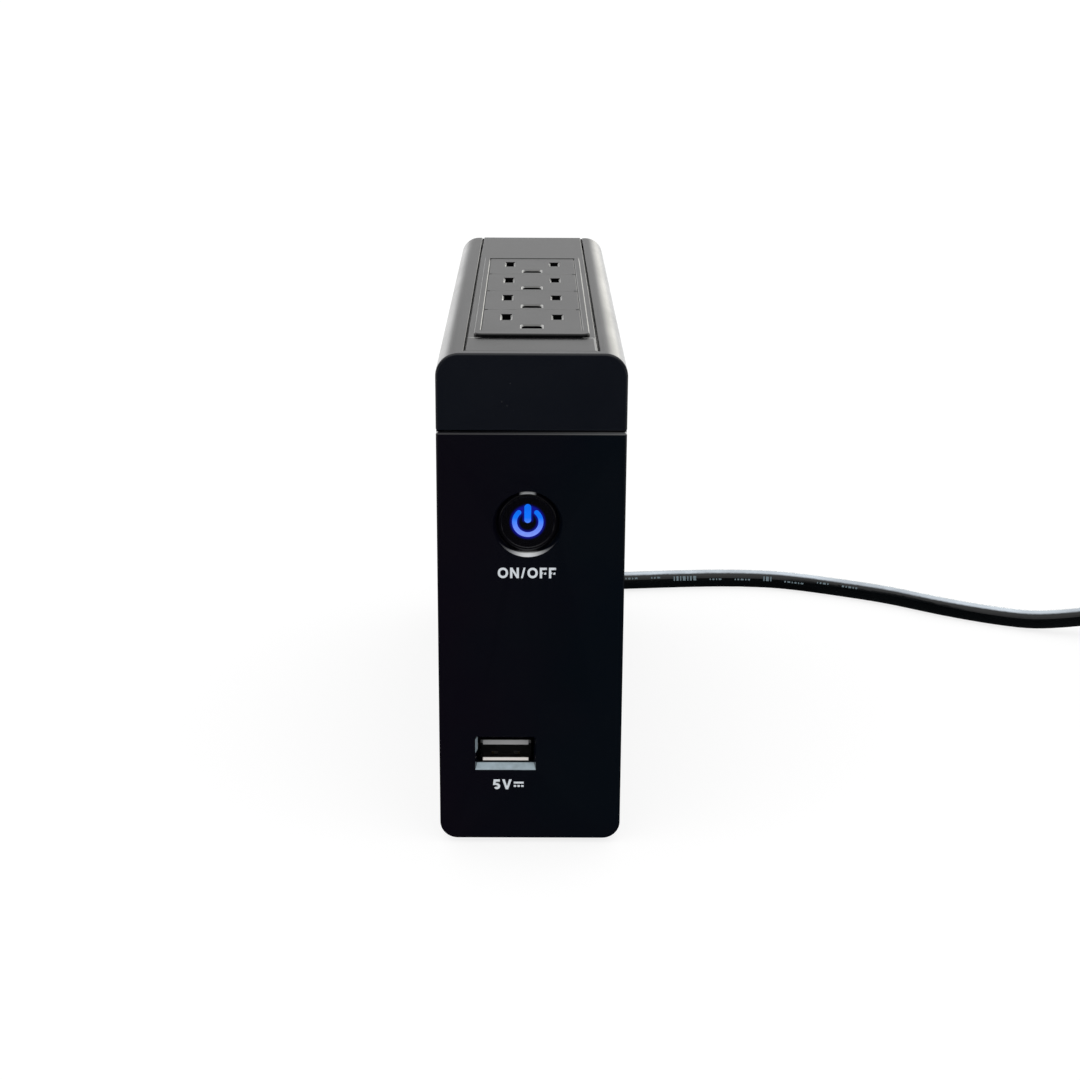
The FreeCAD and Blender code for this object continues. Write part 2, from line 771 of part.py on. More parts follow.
def outlet_face():
    """Four receptacles in one plate, with joints marked between them."""
    body = keep(new_body("outlet_face"))
    pad(body, "XY", face_low, face_top, [
        rect(-dims.face_half, dims.face_half, face_start, face_end)
    ])
    fillet(body, 0.3, lambda edge: at_z(edge, face_top))
    pocket(body, "XY", face_low, face_top, [
        rect(*spread(x, dims.slot_wide / 2), *spread(y, length / 2))
        for x, length in ((-blade_half, dims.slot_neutral), (blade_half, dims.slot_line))
        for y in blade_rows
    ])
    # earth holes: square towards the front, with round corners towards the blades
    earth_half = dims.earth_wide / 2
    earth_spans = [spread(y - dims.earth_offset, dims.earth_long / 2) for y in blade_rows]
    pocket(body, "XY", face_low, face_top, [
        rect(-earth_half, earth_half, *span) for span in earth_spans
    ])
    fillet(
        body, 1.3,
        lambda edge: along(edge, "Z")
        and near(abs(edge.Center.x), earth_half)
        and any(near(edge.Center.y, end) for _, end in earth_spans),
    )
    # bevels on the slots' long sides and round the earth holes, except their front edges
    bevel = 0.42
    chamfer(
        body, bevel,
        lambda edge: at_z(edge, face_top)
        and abs(edge.Center.x) < 9
        and edge.XLength < 8
        and (
            edge.YLength > 5.5
            or (
                abs(edge.Center.x) < 3
                and not any(near(edge.YMax, start) for start, _ in earth_spans)
            )
        ),
    )
    # a small key in the middle of each earth hole's rear side
    pad(body, "XY", face_low, face_top - bevel, [
        rect(-0.55, 0.55, end - 0.12, end + 0.3) for _, end in earth_spans
    ])
    # joints between the four faces: a fine groove, deeper at its ends
    joints = [face_start + dims.outlet_pitch * k for k in (1, 2, 3)]
    pocket(body, "XY", face_top - 0.25, face_top, [
        rect(*spread(0, dims.face_half - 0.9), *spread(y, 0.14)) for y in joints
    ])
    pocket(body, "XY", face_top - 0.9, face_top, [
        rect(*on_side(side, dims.face_half - 1.0, dims.face_half), *spread(y, 0.4))
        for y in joints
        for side in (-1, 1)
    ])


def outlet_base():
    """The block's floor, with three walls that carry the contact strips."""
    body = keep(new_body("outlet_base"))
    floor_top = block_low + 1.6
    pad(body, "XY", block_low, floor_top, [
        rect(*spread(0, dims.block_body - 1.3), body_start + 1.3, body_end - 1.3)
    ])
    for x, level in ((-blade_half, bus_level), (0, earth_level), (blade_half, bus_level)):
        pad(body, "XY", block_low + 1.0, level, [rect(*spread(x, 1.6), bus_start, 40.0)])
    pocket(body, "XY", block_low, floor_top, [(x, 43.0, 1.2) for x in (-blade_half, 0, blade_half)])


def bus(name, x, level, shift, leaf_gap, wide, high):
    """A contact strip with a pair of spring leaves under each slot.

    shift moves the leaves to the front of the blade rows, leaf_gap is the inner face of
    a leaf from the strip's middle, and high is the leaves' top above the strip's underside.
    """
    half, thick = 2.2, 0.8
    leaf_out = leaf_gap + 0.5
    over = level + thick
    parts = [box("strip", *spread(x, half), bus_start, 42.0, level, over)]
    for row in blade_rows:
        length = spread(row - shift, wide / 2)
        for side in (-1, 1):
            if leaf_gap > half:  # leaves outside the strip stand on feet
                low, high_x = on_side(side, 1.5, leaf_out)
                parts.append(box("foot", x + low, x + high_x, *length, level, over))
            low, high_x = on_side(side, leaf_gap, leaf_out)
            parts.append(box("leaf", x + low, x + high_x, *length, level + 0.4, level + high))
    parts.append(box("tab", *spread(x, 1.0), 41.9, 43.1, level, over))
    keep(fuse(name, parts))


outlet_housing()
outlet_face()
outlet_base()
bus("neutral_bus", -blade_half, bus_level, shift=0, leaf_gap=0.85, wide=6.5, high=12.0)
bus("line_bus", blade_half, bus_level, shift=0, leaf_gap=0.85, wide=5.5, high=12.0)
bus("earth_bus", 0, earth_level, shift=dims.earth_offset, leaf_gap=2.45, wide=4.6, high=13.6)

# ------------------------------------------------------------------ power button
cap_front = front + dims.button_sunk
cap_back = -84.0
dish = 0.35  # depth of the shallow dish in the cap's face
dish_radius = 6.1


def symbol(name, grow, y0, y1):
    """An open ring with a bar in its gap, between two levels along Y, grown by a clearance."""
    x, z = dims.button_across, dims.button_up
    ring_radius, ring_half = 3.13, 1.14 / 2
    gap = 42.0  # half angle of the ring's opening, in degrees
    bar_half, bar_low, bar_high = 0.80 + grow, 0.55, 3.60
    length = y1 - y0
    outer = cyl(name + "_outer", "Y", x, y0, z, ring_radius + ring_half + grow, length)
    inner = cyl(name + "_inner", "Y", x, y0 - 1, z, ring_radius - ring_half - grow, length + 2)
    outer.Angle = 360.0 - 2 * gap
    # turns the cylinder's open wedge to the top
    spin = TURN["Y"].multiply(Rotation(Vector(0, 0, 1), -90.0 + gap))
    outer.Placement = Placement(outer.Placement.Base, spin)
    parts = [cut(name + "_ring", outer, inner)]
    for side in (-1, 1):
        angle = math.radians(gap) * side
        end_x = x + ring_radius * math.sin(angle)
        end_z = z + ring_radius * math.cos(angle)
        parts.append(cyl(name + "_end", "Y", end_x, y0, end_z, ring_half + grow, length))
    parts.append(box(name + "_bar", *spread(x, bar_half), y0, y1, z + bar_low, z + bar_high))
    for end in (bar_low, bar_high):
        parts.append(cyl(name + "_barend", "Y", x, y0, z + end, bar_half, length))
    return fuse(name, parts)


def power_button_cap():
    x, z = dims.button_across, dims.button_up
    body = new_body("power_button_cap_blank")
    pad(body, "XZ", cap_front, cap_back, [(x, z, dims.button_cap)])
    fillet(body, 0.9, lambda edge: at_y(edge, cap_front))
    # flange behind the panel
    pad(body, "XZ", bezel_back + 0.1, cap_back, [(x, z, 8.6)])
    pocket(body, "XZ", cap_front, cap_front + dish, [(x, z, dish_radius)])
    fillet(
        body, 0.3,
        lambda edge: at_y(edge, cap_front) and near(edge.XLength, dish_radius * 2),
    )
    # hollow back with a stem
    pocket(body, "XZ", cap_front + 1.4, cap_back, [(x, z, 6.2)])
    pad(body, "XZ", cap_front + 1.2, -80.5, [(x, z, 1.9)])
    opening = symbol("cap_symbol", 0.01, cap_front - 1, cap_front + 1.62)
    keep(cut("power_button_cap", body, opening))


def power_symbol_lens():
    """The lit symbol, joined by a disc behind the cap's face."""
    x, z = dims.button_across, dims.button_up
    disc = cut(
        "lens_disc",
        cyl("disc", "Y", x, cap_front + 1.4, z, 5.6, 0.7),
        cyl("disc_hole", "Y", x, cap_front + 1, z, 1.95, 3),
    )
    lit = symbol("lens_symbol", 0.0, cap_front + dish, cap_front + 1.6)
    keep(fuse("power_symbol_lens", [lit, disc]))


def button_spring():
    """Return spring round the stem."""
    turns, radius, wire_radius = 5.5, 3.2, 0.25
    length = 5.7
    count = int(turns * 16)
    points = []
    for k in range(count + 1):
        u = k / count
        angle = 2 * math.pi * turns * u
        points.append(Vector(
            dims.button_across.value + radius * math.cos(angle),
            cap_back + length * u,
            dims.button_up.value + radius * math.sin(angle),
        ))
    spring = doc.addObject("Part::Feature", "button_spring")
    spring.Shape = bar_along(points, (0, 0, 1), wire_radius, ruled=True)
    keep(spring)


power_symbol_lens()
power_button_cap()
button_spring()


# ------------------------------------------------------------------ front board and its parts
def front_board():
    body = keep(new_body("front_board"))
    pad(body, "XZ", front_board_front, front_board_back, [rect(-18.0, 18.0, 7.8, 99.2)])
    pocket(body, "XZ", front_board_front, front_board_back, [(x, z, 1.25) for x, z in front_posts])


def power_switch():
    x, z = dims.button_across, dims.button_up
    board = front_board_front
    case = box("switch_case", *spread(x, 4.2), -78.0, board, *spread(z, 4.2))
    hollow = cut("switch_open", case, cyl("switch_hole", "Y", x, -80, z, 1.56, 5.5))
    legs = [
        box("switch_leg", *spread(x + i, 0.4), board - 0.5, board, *spread(z + j, 0.2))
        for i, j in four(3.0, 2.5)
    ]
    keep(fuse("power_switch_body", [hollow] + legs))
    keep(cyl("power_switch_plunger", "Y", x, -80.5, z, 1.5, 3.9))


def status_lamps():
    z = dims.button_up
    lamps = []
    for side in (-1, 1):
        x = dims.button_across + side * 6.6
        lens = cyl("lamp_body", "Y", x, -76.2, z, 1.5, 4.2)
        flange = cyl("lamp_flange", "Y", x, -73.0, z, 1.85, 1.0)
        lamps.append(fuse("lamp", [lens, flange]))
    keep(group("status_lamps", lamps))


def usb_port():
    x, z = dims.usb_across, dims.usb_up
    wide, high = dims.usb_shell_wide / 2, dims.usb_shell_high / 2
    start, board = front + dims.usb_sunk - 0.1, front_board_front
    sheet_thick = 0.3
    inner_x = spread(x, wide - sheet_thick)
    inner_z = spread(z, high - sheet_thick)
    lip_low = z - 3.07
    outer = fuse("usb_outer", [
        box("usb_out", *spread(x, wide), start, board, *spread(z, high)),
        box("usb_lip", *spread(x, 6.75), start, start + 0.35, lip_low, z + 3.05),
        box("usb_sill", *spread(x, 6.6), start, start + 1.2, lip_low, z - 2.6),
    ])
    cavity = box("usb_in", *inner_x, start - 1, board - sheet_thick, *inner_z)
    # the lower lip slopes down to the front
    slope = box("usb_slope", *inner_x, 0, 3.0, 0, 2.0)
    place(slope, inner_x[0], start - 0.1, lip_low, Rotation(Vector(1, 0, 0), 23.0))
    ramp = cut("usb_ramp", cut("usb_hollow", outer, cavity), slope)
    # two sprung tongues stand up from the shell's floor
    tongues = [
        cyl("usb_spring", "X", x + dx - 0.8, -82.4, z - high - 0.35, 1.05, 1.6)
        for dx in (-2.7, 2.7)
    ]
    sprung = fuse("usb_with_springs", [ramp] + tongues)
    under = box("usb_under", *spread(x, 4.0), -84.0, -80.0, z - high - 2.0, z - high)
    keep(cut("usb_shell", sprung, under))

    tongue_low, root_gap = z + 0.95, 0.35
    root_x, root_z = spread(x, wide - root_gap), spread(z, high - root_gap)
    keep(fuse("usb_tongue", [
        box("tongue", *spread(x, 5.55), start + 0.9, -75.5, tongue_low, z + 2.46),
        box("tongue_root", *root_x, -76.5, board - root_gap, *root_z),
    ]))
    keep(group("usb_contacts", [
        box("contact", *spread(x + dx, 0.5), start + 1.6, -76.5, z + 0.77, tongue_low)
        for dx in (-3.5, -1.0, 1.0, 3.5)
    ]))


front_board()
power_switch()
status_lamps()
usb_port()


# ------------------------------------------------------------------ main board and its parts
# The board stands upright; its parts rise from its right face towards +X.
def main_board():
    body = keep(new_body("main_board"))
    left, right = main_board_left, main_board_right
    pad(body, "YZ", left, right, [rect(-66.0, 2.0, 12.0, 96.5)])
    pocket(body, "YZ", left, right, [(y, z, 1.6) for y, z in main_board_holes])


def on_board(name, low, high, y0, y1, z0, z1):
    """A box whose first two sizes are heights above the main board."""
    return box(name, main_board_right + low, main_board_right + high, y0, y1, z0, z1)


def transformer():
    core = on_board("core_block", 2.0, 28.0, -58.0, -26.0, 44.0, 74.0)
    windows = [on_board("core_win", 0, 30.0, y, y + 7.0, 50.0, 68.0) for y in (-54.0, -37.0)]
    keep(cut("transformer_core", core, fuse("core_windows", windows)))
    keep(cut(
        "transformer_winding",
        on_board("coil", 0.02, 29.5, -53.9, -30.1, 50.5, 67.5),
        on_board("coil_hole", 1.95, 28.05, -47.05, -36.95, 49.0, 69.0),
    ))


def bulk_capacitors():
    cans = []
    for z in (30.0, 48.0, 66.0):
        can = cyl("can", "X", main_board_right, -15.3, z, 7.5, 30.0)
        cans.append(soften("can_soft", can, 1.0, lambda edge: edge.XMin > 10))
    keep(group("bulk_capacitors", cans))


def heat_sink():
    low, high = 24.0, 84.0
    parts = [on_board("sink_plate", 0.5, 30.0, -4.4, -2.4, low, high)]
    for k in range(7):
        start = 1.0 + 4.4 * k
        parts.append(on_board("sink_fin", start, start + 1.2, -2.5, 2.0, low, high))
    keep(fuse("heat_sink", parts))


def power_transistors():
    """Four transistors against the front of the heat sink."""
    back = -4.42
    keep(group("power_transistors", [
        fuse("fet", [
            on_board("fet_case", 6.0, 15.0, -6.9, back, z - 5.0, z + 5.0),
            on_board("fet_tab", 15.0, 21.5, -5.6, back, z - 5.0, z + 5.0),
            on_board("fet_legs", 0, 6.1, -6.0, -5.4, z - 3.0, z + 3.0),
        ])
        for z in (30.0, 45.0, 60.0, 75.0)
    ]))


def choke():
    centre = (main_board_right + 4.0, -34.2, 30.5)
    radius = 7.5
    core = keep(torus("choke_core", *centre, radius, 2.6, TURN["X"]))
    coils = []
    for start in (20.0, 200.0):  # where each winding starts, in degrees
        spin = TURN["X"].multiply(Rotation(Vector(0, 0, 1), start))
        turns = torus("choke_turns", *centre, radius, 3.3, spin)
        turns.Angle3 = 140.0
        coils.append(cut("choke_coil", turns, core))
    keep(group("choke_winding", coils))


def small_board_parts():
    keep(on_board("transfer_relay", 0, 15.5, -64.6, -45.6, 22.0, 38.0))
    keep(group("fuse_clips", [
        on_board("clip", 0, 6.0, y, y + 4.0, z, z + 0.6)
        for z in (81.6, 87.8)
        for y in (-52.0, -36.0)
    ]))
    keep(cyl("mains_fuse", "Y", main_board_right + 3.4, -53.0, 85.0, 2.55, 20.0))
    keep(group("film_capacitors", [
        on_board("film", 0, 12.0, -30.0, -13.0, z, z + 6.0) for z in (78.0, 86.5)
    ]))
    keep(fuse("controller_chip", [
        on_board("chip", 0.4, 1.8, -23.0, -13.0, 14.0, 20.0),
        on_board("chip_pins", 0, 0.6, -24.4, -11.6, 14.6, 19.4),
    ]))
    keep(group("board_connectors", [
        on_board("plug", 0, 8.0, -62.0, -59.0, z, z + 12.0) for z in (44.0, 62.0)
    ]))


main_board()
transformer()
bulk_capacitors()
heat_sink()
power_transistors()
choke()
small_board_parts()

# ------------------------------------------------------------------ battery pack
cell_columns = [dims.cell_pitch_across * 0.5 * side for side in (-1, 1)]
cell_levels = [21.0 + dims.cell_pitch_up * k for k in range(3)]
cell_start = Size(6.5)
cell_end = cell_start + dims.cell_length
cell_button = 0.6  # how far a cell's rear terminal stands out


def battery_cells():
    keep(group("battery_cells", [
        fuse("cell", [
            cyl("cell_can", "Y", x, cell_start, z, dims.cell_dia / 2, dims.cell_length),
            cyl("cell_button", "Y", x, cell_end, z, 3.0, cell_button),
        ])
        for x in cell_columns
        for z in cell_levels
    ]))


def battery_holder(name, start):
    body = keep(new_body(name))
    end = start + 8.0
    pad(body, "XZ", start, end, [rect(-19.6, 19.6, pack_bottom, pack_top)])
    fillet(body, 2.0, lambda edge: along(edge, "Y"))
    for z in cell_levels:
        pocket(body, "XZ", start, end, [(x, z, dims.cell_dia / 2 + 0.05) for x in cell_columns])


def battery_tabs():
    """Strips that join the cells: across at the front, upright at the rear."""
    thick, half = 0.2, 4.0
    rear_tab = cell_end + cell_button
    tabs = [
        box("tab_front", -14.0, 14.0, cell_start - thick, cell_start, *spread(z, half))
        for z in cell_levels
    ]
    low, high = cell_levels[0] - half, cell_levels[2] + half
    tabs += [
        box("tab_rear", *spread(x, half), rear_tab, rear_tab + thick, low, high)
        for x in cell_columns
    ]
    keep(group("battery_tabs", tabs))


def battery_guard_board():
    """A board with a chip and a connector, on top of the pack."""
    low = pack_top + 0.2
    mount = low + 1.1
    keep(fuse("battery_guard_board", [
        box("guard", -12.0, 12.0, 18.0, 60.0, low, low + 1.2),
        box("guard_chip", -3.0, 3.0, 34.0, 44.0, mount, 72.0),
        box("guard_plug", -10.0, -2.0, 20.0, 25.0, mount, 75.0),
    ]))


battery_cells()
battery_holder("battery_holder_front", cell_start + 1.0)
battery_holder("battery_holder_rear", cell_end - 9.0)
battery_tabs()
battery_guard_board()


# ------------------------------------------------------------------ rear panel and breaker
def rear_panel():
    body = keep(new_body("rear_panel"))
    wide, narrow = 20.0, 13.2  # half widths between the covers, and between their lips
    low, high, tongue_low, tongue_high = 5.1, 119.5, 3.4, 121.3
    outline = [
        (-wide, low), (-narrow, low), (-narrow, tongue_low),
        (narrow, tongue_low), (narrow, low), (wide, low),
        (wide, high), (narrow, high), (narrow, tongue_high),
        (-narrow, tongue_high), (-narrow, high), (-wide, high),
    ]  # (x, z)
    pad(body, "XZ", rear_inside, rear_outside, [outline])
    fillet(body, 0.4, lambda edge: at_y(edge, rear_outside))
    screws = [
        (dims.rear_screw_across * side, z, dims.screw_clear)
        for side in (-1, 1)
        for z in (dims.rear_screw_low, dims.rear_screw_high)
    ]
    cord_hole = (dims.cord_across, dims.cord_up, 5.2)
    breaker_hole = (dims.breaker_across, dims.breaker_up, dims.breaker_neck + 0.1)
    # vent slots: two columns low down, and one beside the breaker
    low_vents = [
        rect(x, x + 13.0, 34.0 + 4.0 * k, 36.0 + 4.0 * k) for k in range(9) for x in (-14.5, 1.5)
    ]
    high_vents = [rect(-14.5, -3.0, 78.0 + 4.0 * k, 80.0 + 4.0 * k) for k in range(7)]
    for holes in (screws, [cord_hole], [breaker_hole], low_vents, high_vents):
        pocket(body, "XZ", rear_inside, rear_outside, holes)


def breaker():
    x, z = dims.breaker_across, dims.breaker_up
    case_start = 58.0
    lug_end = case_start + 0.1
    case = fuse("breaker_case", [
        box("breaker_box", *spread(x, 7.0), case_start, rear_inside - fit, *spread(z, 11.0)),
        cyl("breaker_thread", "Y", x, rear_inside - 1.0, z, dims.breaker_neck, 9.0),
        box("breaker_lug", *spread(x, 3.2), 52.0, lug_end, z + 5.0, z + 5.8),
        box("breaker_lug", *spread(x, 3.2), 52.0, lug_end, z - 5.8, z - 5.0),
    ])
    keep(cut("breaker_body", case, cyl("breaker_bore", "Y", x, 72.0, z, 3.1, 30.0)))
    # the reset button stands out of the neck
    button = cyl("reset_pin", "Y", x, 76.8, z, 3.05, 16.5)
    keep(soften("breaker_button", button, 0.7, lambda edge: edge.YMin > 90))
    nut = doc.addObject("Part::Prism", "nut_prism")
    nut.Polygon, nut.Circumradius, nut.Height = 6, 7.6, 2.4
    place(nut, x, rear_outside + fit, z, TURN["Y"])
    bore = cyl("nut_bore", "Y", x, rear_outside - 1, z, dims.breaker_neck + 0.05, 6)
    keep(cut("breaker_nut", nut, bore))


rear_panel()
breaker()

# ------------------------------------------------------------------ mains cord and plug
plug_x, plug_z = 205.0, 12.0  # axis of the plug
plug_front = 4.0  # front face of its body
plug_rear = plug_front + 26.0  # where the body meets the cord sleeve
sleeve_end = plug_rear + 10.0


def strain_relief():
    x, z = dims.cord_across, dims.cord_up
    start = rear_inside - 3.0
    solid = fuse("relief_solid", [
        cyl("relief_neck", "Y", x, start, z, 5.1, dims.rear_thick + 3.2),
        cyl("relief_inner", "Y", x, start, z, 6.2, 2.98),
        cyl("relief_flange", "Y", x, rear_outside + fit, z, 6.6, 1.6),
        cone("relief_boot", "Y", x, rear_outside + 1.5, z, 5.4, 4.0, 5.4),
    ])
    bore = cyl("relief_bore", "Y", x, 70, z, dims.cord_dia / 2 + 0.17, 40)
    keep(cut("strain_relief", solid, bore))


def power_cord():
    radius = dims.cord_dia.value / 2
    x, z = dims.cord_across.value, dims.cord_up.value
    lying = radius + 0.03  # height of the axis where the cord lies on the table
    keys = [  # (point, direction, reach before, reach after), see smooth
        ((x, 79.0, z), (0, 1, 0)),
        ((x, 90.0, z), (0, 1, 0)),
        ((x, 94.6, z), (0, 1, 0), 4.6, 17.0),
        ((2.6, 103.6, 11.6), (0.90, 0.22, -0.37), 15.0, 24.0),
        ((32.6, 105.4, lying), (0.994, 0.105, 0)),
        ((51.6, 107.4, lying),),
        ((69.0, 108.3, lying),),
        ((86.1, 106.4, lying),),
        ((105.6, 98.7, lying),),
        ((124.2, 88.7, lying), (0.82, -0.57, 0)),
        ((143.0, 76.0, lying), (0.87, -0.49, 0)),
        ((160.0, 67.2, lying + 0.3), (0.9, -0.43, 0.05)),
        ((plug_x, sleeve_end + 5.0, plug_z), (0, -1, 0), 52.0, 5.0),
        ((plug_x, sleeve_end, plug_z), (0, -1, 0)),
        ((plug_x, plug_rear, plug_z), (0, -1, 0)),
    ]
    cord = doc.addObject("Part::Feature", "power_cord")
    cord.Shape = bar_along(evenly(smooth(keys, step=0.25), step=5.0), (0, 1, 0), radius)
    keep(cord)


def plug():
    """Moulded body, two flat blades and a round earth pin, pointing to the front."""
    x, z = plug_x, plug_z
    body = keep(new_body("plug_body"))
    pad(body, "XZ", plug_front, plug_rear, [rect(*spread(x, 11.9), 0.0, 24.0)])
    fillet(body, 5.0, lambda edge: along(edge, "Y"))
    fillet(body, 2.2, lambda edge: at_y(edge, plug_rear))
    fillet(body, 1.0, lambda edge: at_y(edge, plug_front))
    # ribbed sleeve round the cord
    pad(body, "XZ", plug_rear - 2.0, sleeve_end, [(x, z, 5.0)])
    for k in range(3):
        start = plug_rear + 2.4 + 2.6 * k
        pocket(body, "XZ", start, start + 1.0, [(x, z, 6.0), (x, z, 4.2)])
    pocket(body, "XZ", plug_rear - 8.0, sleeve_end, [(x, z, dims.cord_dia / 2 + 0.12)])

    blade_z = z + 4.6
    pin_z = blade_z - dims.earth_offset
    root = plug_front + 8.0  # how far the metal reaches into the body
    blade_spans = [spread(x + blade_half * side, 0.76) for side in (-1, 1)]
    pocket(body, "XZ", plug_front, root, [
        rect(*span, *spread(blade_z, 3.2)) for span in blade_spans
    ] + [(x, pin_z, 2.02)])
    tip = plug_front - 15.9
    blades = []
    for span in blade_spans:
        blade = box("blade", *span, tip, root, *spread(blade_z, 3.175))
        blades.append(soften(
            "blade_tip", blade, 0.45,
            lambda edge: edge.YMax < tip + 0.1 and edge.ZLength > 5,
            kind="Chamfer",
        ))
    keep(group("plug_blades", blades))
    pin_length = 18.8
    pin = fuse("pin_steps", [
        cyl("pin", "Y", x, plug_front - pin_length, pin_z, 2.38, pin_length),
        cyl("pin_root", "Y", x, plug_front - 1.0, pin_z, 2.0, 9.0),
    ])
    keep(soften("plug_earth_pin", pin, 1.4, lambda edge: edge.YMax < plug_front - 18))


strain_relief()
power_cord()
plug()

# ------------------------------------------------------------------ fasteners
CROSS_DEEP = 0.8


def cross_slot(axis, point, reach):
    """The cross in a screw head, starting at a point and running along an axis."""
    bars = []
    for wide in "XYZ".replace(axis, ""):
        spans = []
        for name, spot in zip("XYZ", point):
            if name == axis:
                spans += [spot, size(spot) + CROSS_DEEP]
            else:
                spans += spread(spot, reach if name == wide else 0.3)
        bars.append(box("cross", *spans))
    return fuse("screw_cross", bars)


def screw(axis, point, head_radius, head_high, core_radius, length, cross):
    """A cross-head screw. The point is the middle of the face where head and core meet.

    The head is towards +X or +Y of the point; on the Z axis it hangs below it.
    """

    def moved(offset):
        return [size(c) + offset if name == axis else c for name, c in zip("XYZ", point)]

    if axis == "Z":
        head_at, core_at, cross_at = -head_high, 0, -head_high
    else:
        head_at, core_at, cross_at = 0, -length, head_high - CROSS_DEEP
    head = cyl("head", axis, *moved(head_at), head_radius, head_high)
    core = cyl("shank", axis, *moved(core_at), core_radius, length)
    slot = cross_slot(axis, moved(cross_at), cross)
    return cut("screw", fuse("screw_solid", [head, core]), slot)


def countersunk(x, y):
    """A base screw; its head is flush with the underside of the base strip."""
    head = cone("csk", "Z", x, y, bottom + fit, 2.85, 1.66, 1.19)
    core = cyl("shank", "Z", x, y, bottom + 1.1, dims.screw_core - fit, 5.6)
    slot = cross_slot("Z", (x, y, bottom), 1.4)
    return cut("screw", fuse("screw_solid", [head, core]), slot)


# head radius and height, core radius, length, and half width of the cross
REAR_SCREW = (dims.screw_head, 1.9, dims.screw_core - fit, 9.0, 1.5)
BOARD_SCREW = (2.6, 1.6, small_core, 4.6, 1.3)
FRONT_BOARD_SCREW = (2.2, 1.4, small_core, 7.0, 1.5)
OUTLET_SCREW = (2.6, 1.6, small_core, 6.0, 1.3)

keep(group("rear_screws", [
    screw("Y", (dims.rear_screw_across * side, rear_outside + fit, z), *REAR_SCREW)
    for side in (-1, 1)
    for z in (dims.rear_screw_low, dims.rear_screw_high)
]))
keep(group("base_screws", [
    countersunk(x, y) for x, y in four(dims.base_screw_across, dims.base_screw_along)
]))
keep(group("board_screws", [
    screw("X", (main_board_right + fit, y, z), *BOARD_SCREW) for y, z in main_board_holes
]))
keep(group("front_board_screws", [
    screw("Y", (x, front_board_back + fit, z), *FRONT_BOARD_SCREW) for x, z in front_posts
]))
keep(group("outlet_screws", [
    screw("Z", (0, y, outlet_tab_low - fit), *OUTLET_SCREW) for y in outlet_screw_rows
]))


# ------------------------------------------------------------------ wiring
def leads(name, radius, runs):
    """Insulated wires. A run is (points, start direction, end direction, straight end).

    The straight end is one more point in the end direction, and may be left out.
    """
    wires = []
    for points, start, end, *tail in runs:
        keys = [(points[0], start)] + [(p,) for p in points[1:-1]] + [(points[-1], end)]
        keys += [(p, end) for p in tail]
        wire = doc.addObject("Part::Feature", "lead")
        wire.Shape = bar_along(smooth(keys, step=3.0), start, radius)
        wires.append(wire)
    keep(group(name, wires))


leads("line_leads", 0.9, [
    ([
        (-6.3, 78.9, 14.2), (-5.8, 75.2, 18.0), (-1.0, 74.6, 34.0), (8.0, 74.6, 52.0),
        (14.5, 74.6, 67.5), (17.3, 70.5, 74.2), (17.5, 60.0, 78.5), (15.2, 50.0, 80.4),
        (11.6, 46.4, 80.6), (8.0, 51.6, 80.6),
    ], (0, -1, 0), (0, 1, 0)),
    ([
        (8.0, 54.6, 91.85), (8.0, 51.5, 97.2), (4.0, 38.0, 98.4), (-2.0, 16.0, 98.2),
        (-2.5, 0.0, 97.0), (-7.0, -8.2, 94.8),
    ], (0, 0, 1), (-1, 0, 0), (-14.38, -8.2, 94.8)),
])
leads("neutral_leads", 0.9, [
    ([
        (-9.7, 78.9, 14.4), (-10.2, 75.2, 18.4), (-13.0, 74.6, 36.0), (-13.5, 74.6, 60.0),
        (-13.3, 73.8, 70.0), (-12.0, 66.0, 80.0), (-9.0, 52.0, 94.0), (-6.6, 44.0, 100.2),
    ], (0, -1, 0), (0.2, -0.6, 0.5)),
])
leads("earth_leads", 0.9, [
    ([
        (-8.0, 78.9, 17.2), (-7.8, 75.2, 21.0), (-6.5, 74.6, 40.0), (-5.0, 74.6, 60.0),
        (-4.4, 73.8, 70.0), (-3.5, 66.0, 80.0), (-1.5, 54.0, 93.0), (-0.4, 45.0, 100.2),
    ], (0, -1, 0), (0, -0.6, 0.5)),
])
leads("battery_leads", 0.8, [
    ([
        (-7.5, 22.5, 75.02), (-7.9, 19.5, 81.0), (-9.0, 10.0, 87.0), (-10.5, 0.0, 89.2),
        (-12.2, -6.0, 88.6), (-14.0, -8.4, 88.4),
    ], (0, 0, 1), (-1, 0, 0)),
    ([
        (-4.5, 22.5, 75.02), (-4.6, 19.5, 82.5), (-5.5, 10.0, 89.5), (-7.5, 0.0, 92.4),
        (-10.8, -8.0, 92.2), (-14.0, -10.8, 92.0),
    ], (0, 0, 1), (-1, 0, 0)),
])

# ------------------------------------------------------------------ checks and export
doc.recompute()
for obj in doc.Objects:
    bad = [state for state in obj.State if state in ("Invalid", "Error")]
    assert not bad, f"{obj.Label} ({obj.TypeId}) is {bad}"
for obj in pieces:
    shape = obj.Shape
    assert not shape.isNull() and shape.isValid(), obj.Label + ": bad shape"
    assert shape.Solids and all(s.Volume > 0.01 for s in shape.Solids), obj.Label + ": no solid"
for obj in pieces:
    obj.Shape.exportStep(f"parts/{obj.Label}.step")
print(len(pieces), "pieces written")
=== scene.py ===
"""A tabletop power outlet: a tall black case with mains faces on top, and a power button and
a USB port on its front panel. A cord leaves the back and runs off to the right.

Metres, +Z up. The front panel faces -Y, where the camera stands; +X is to the right of the view.
"""
import bpy
import bmesh
import json
import math
from bisect import bisect_left
from mathutils import Matrix, Vector


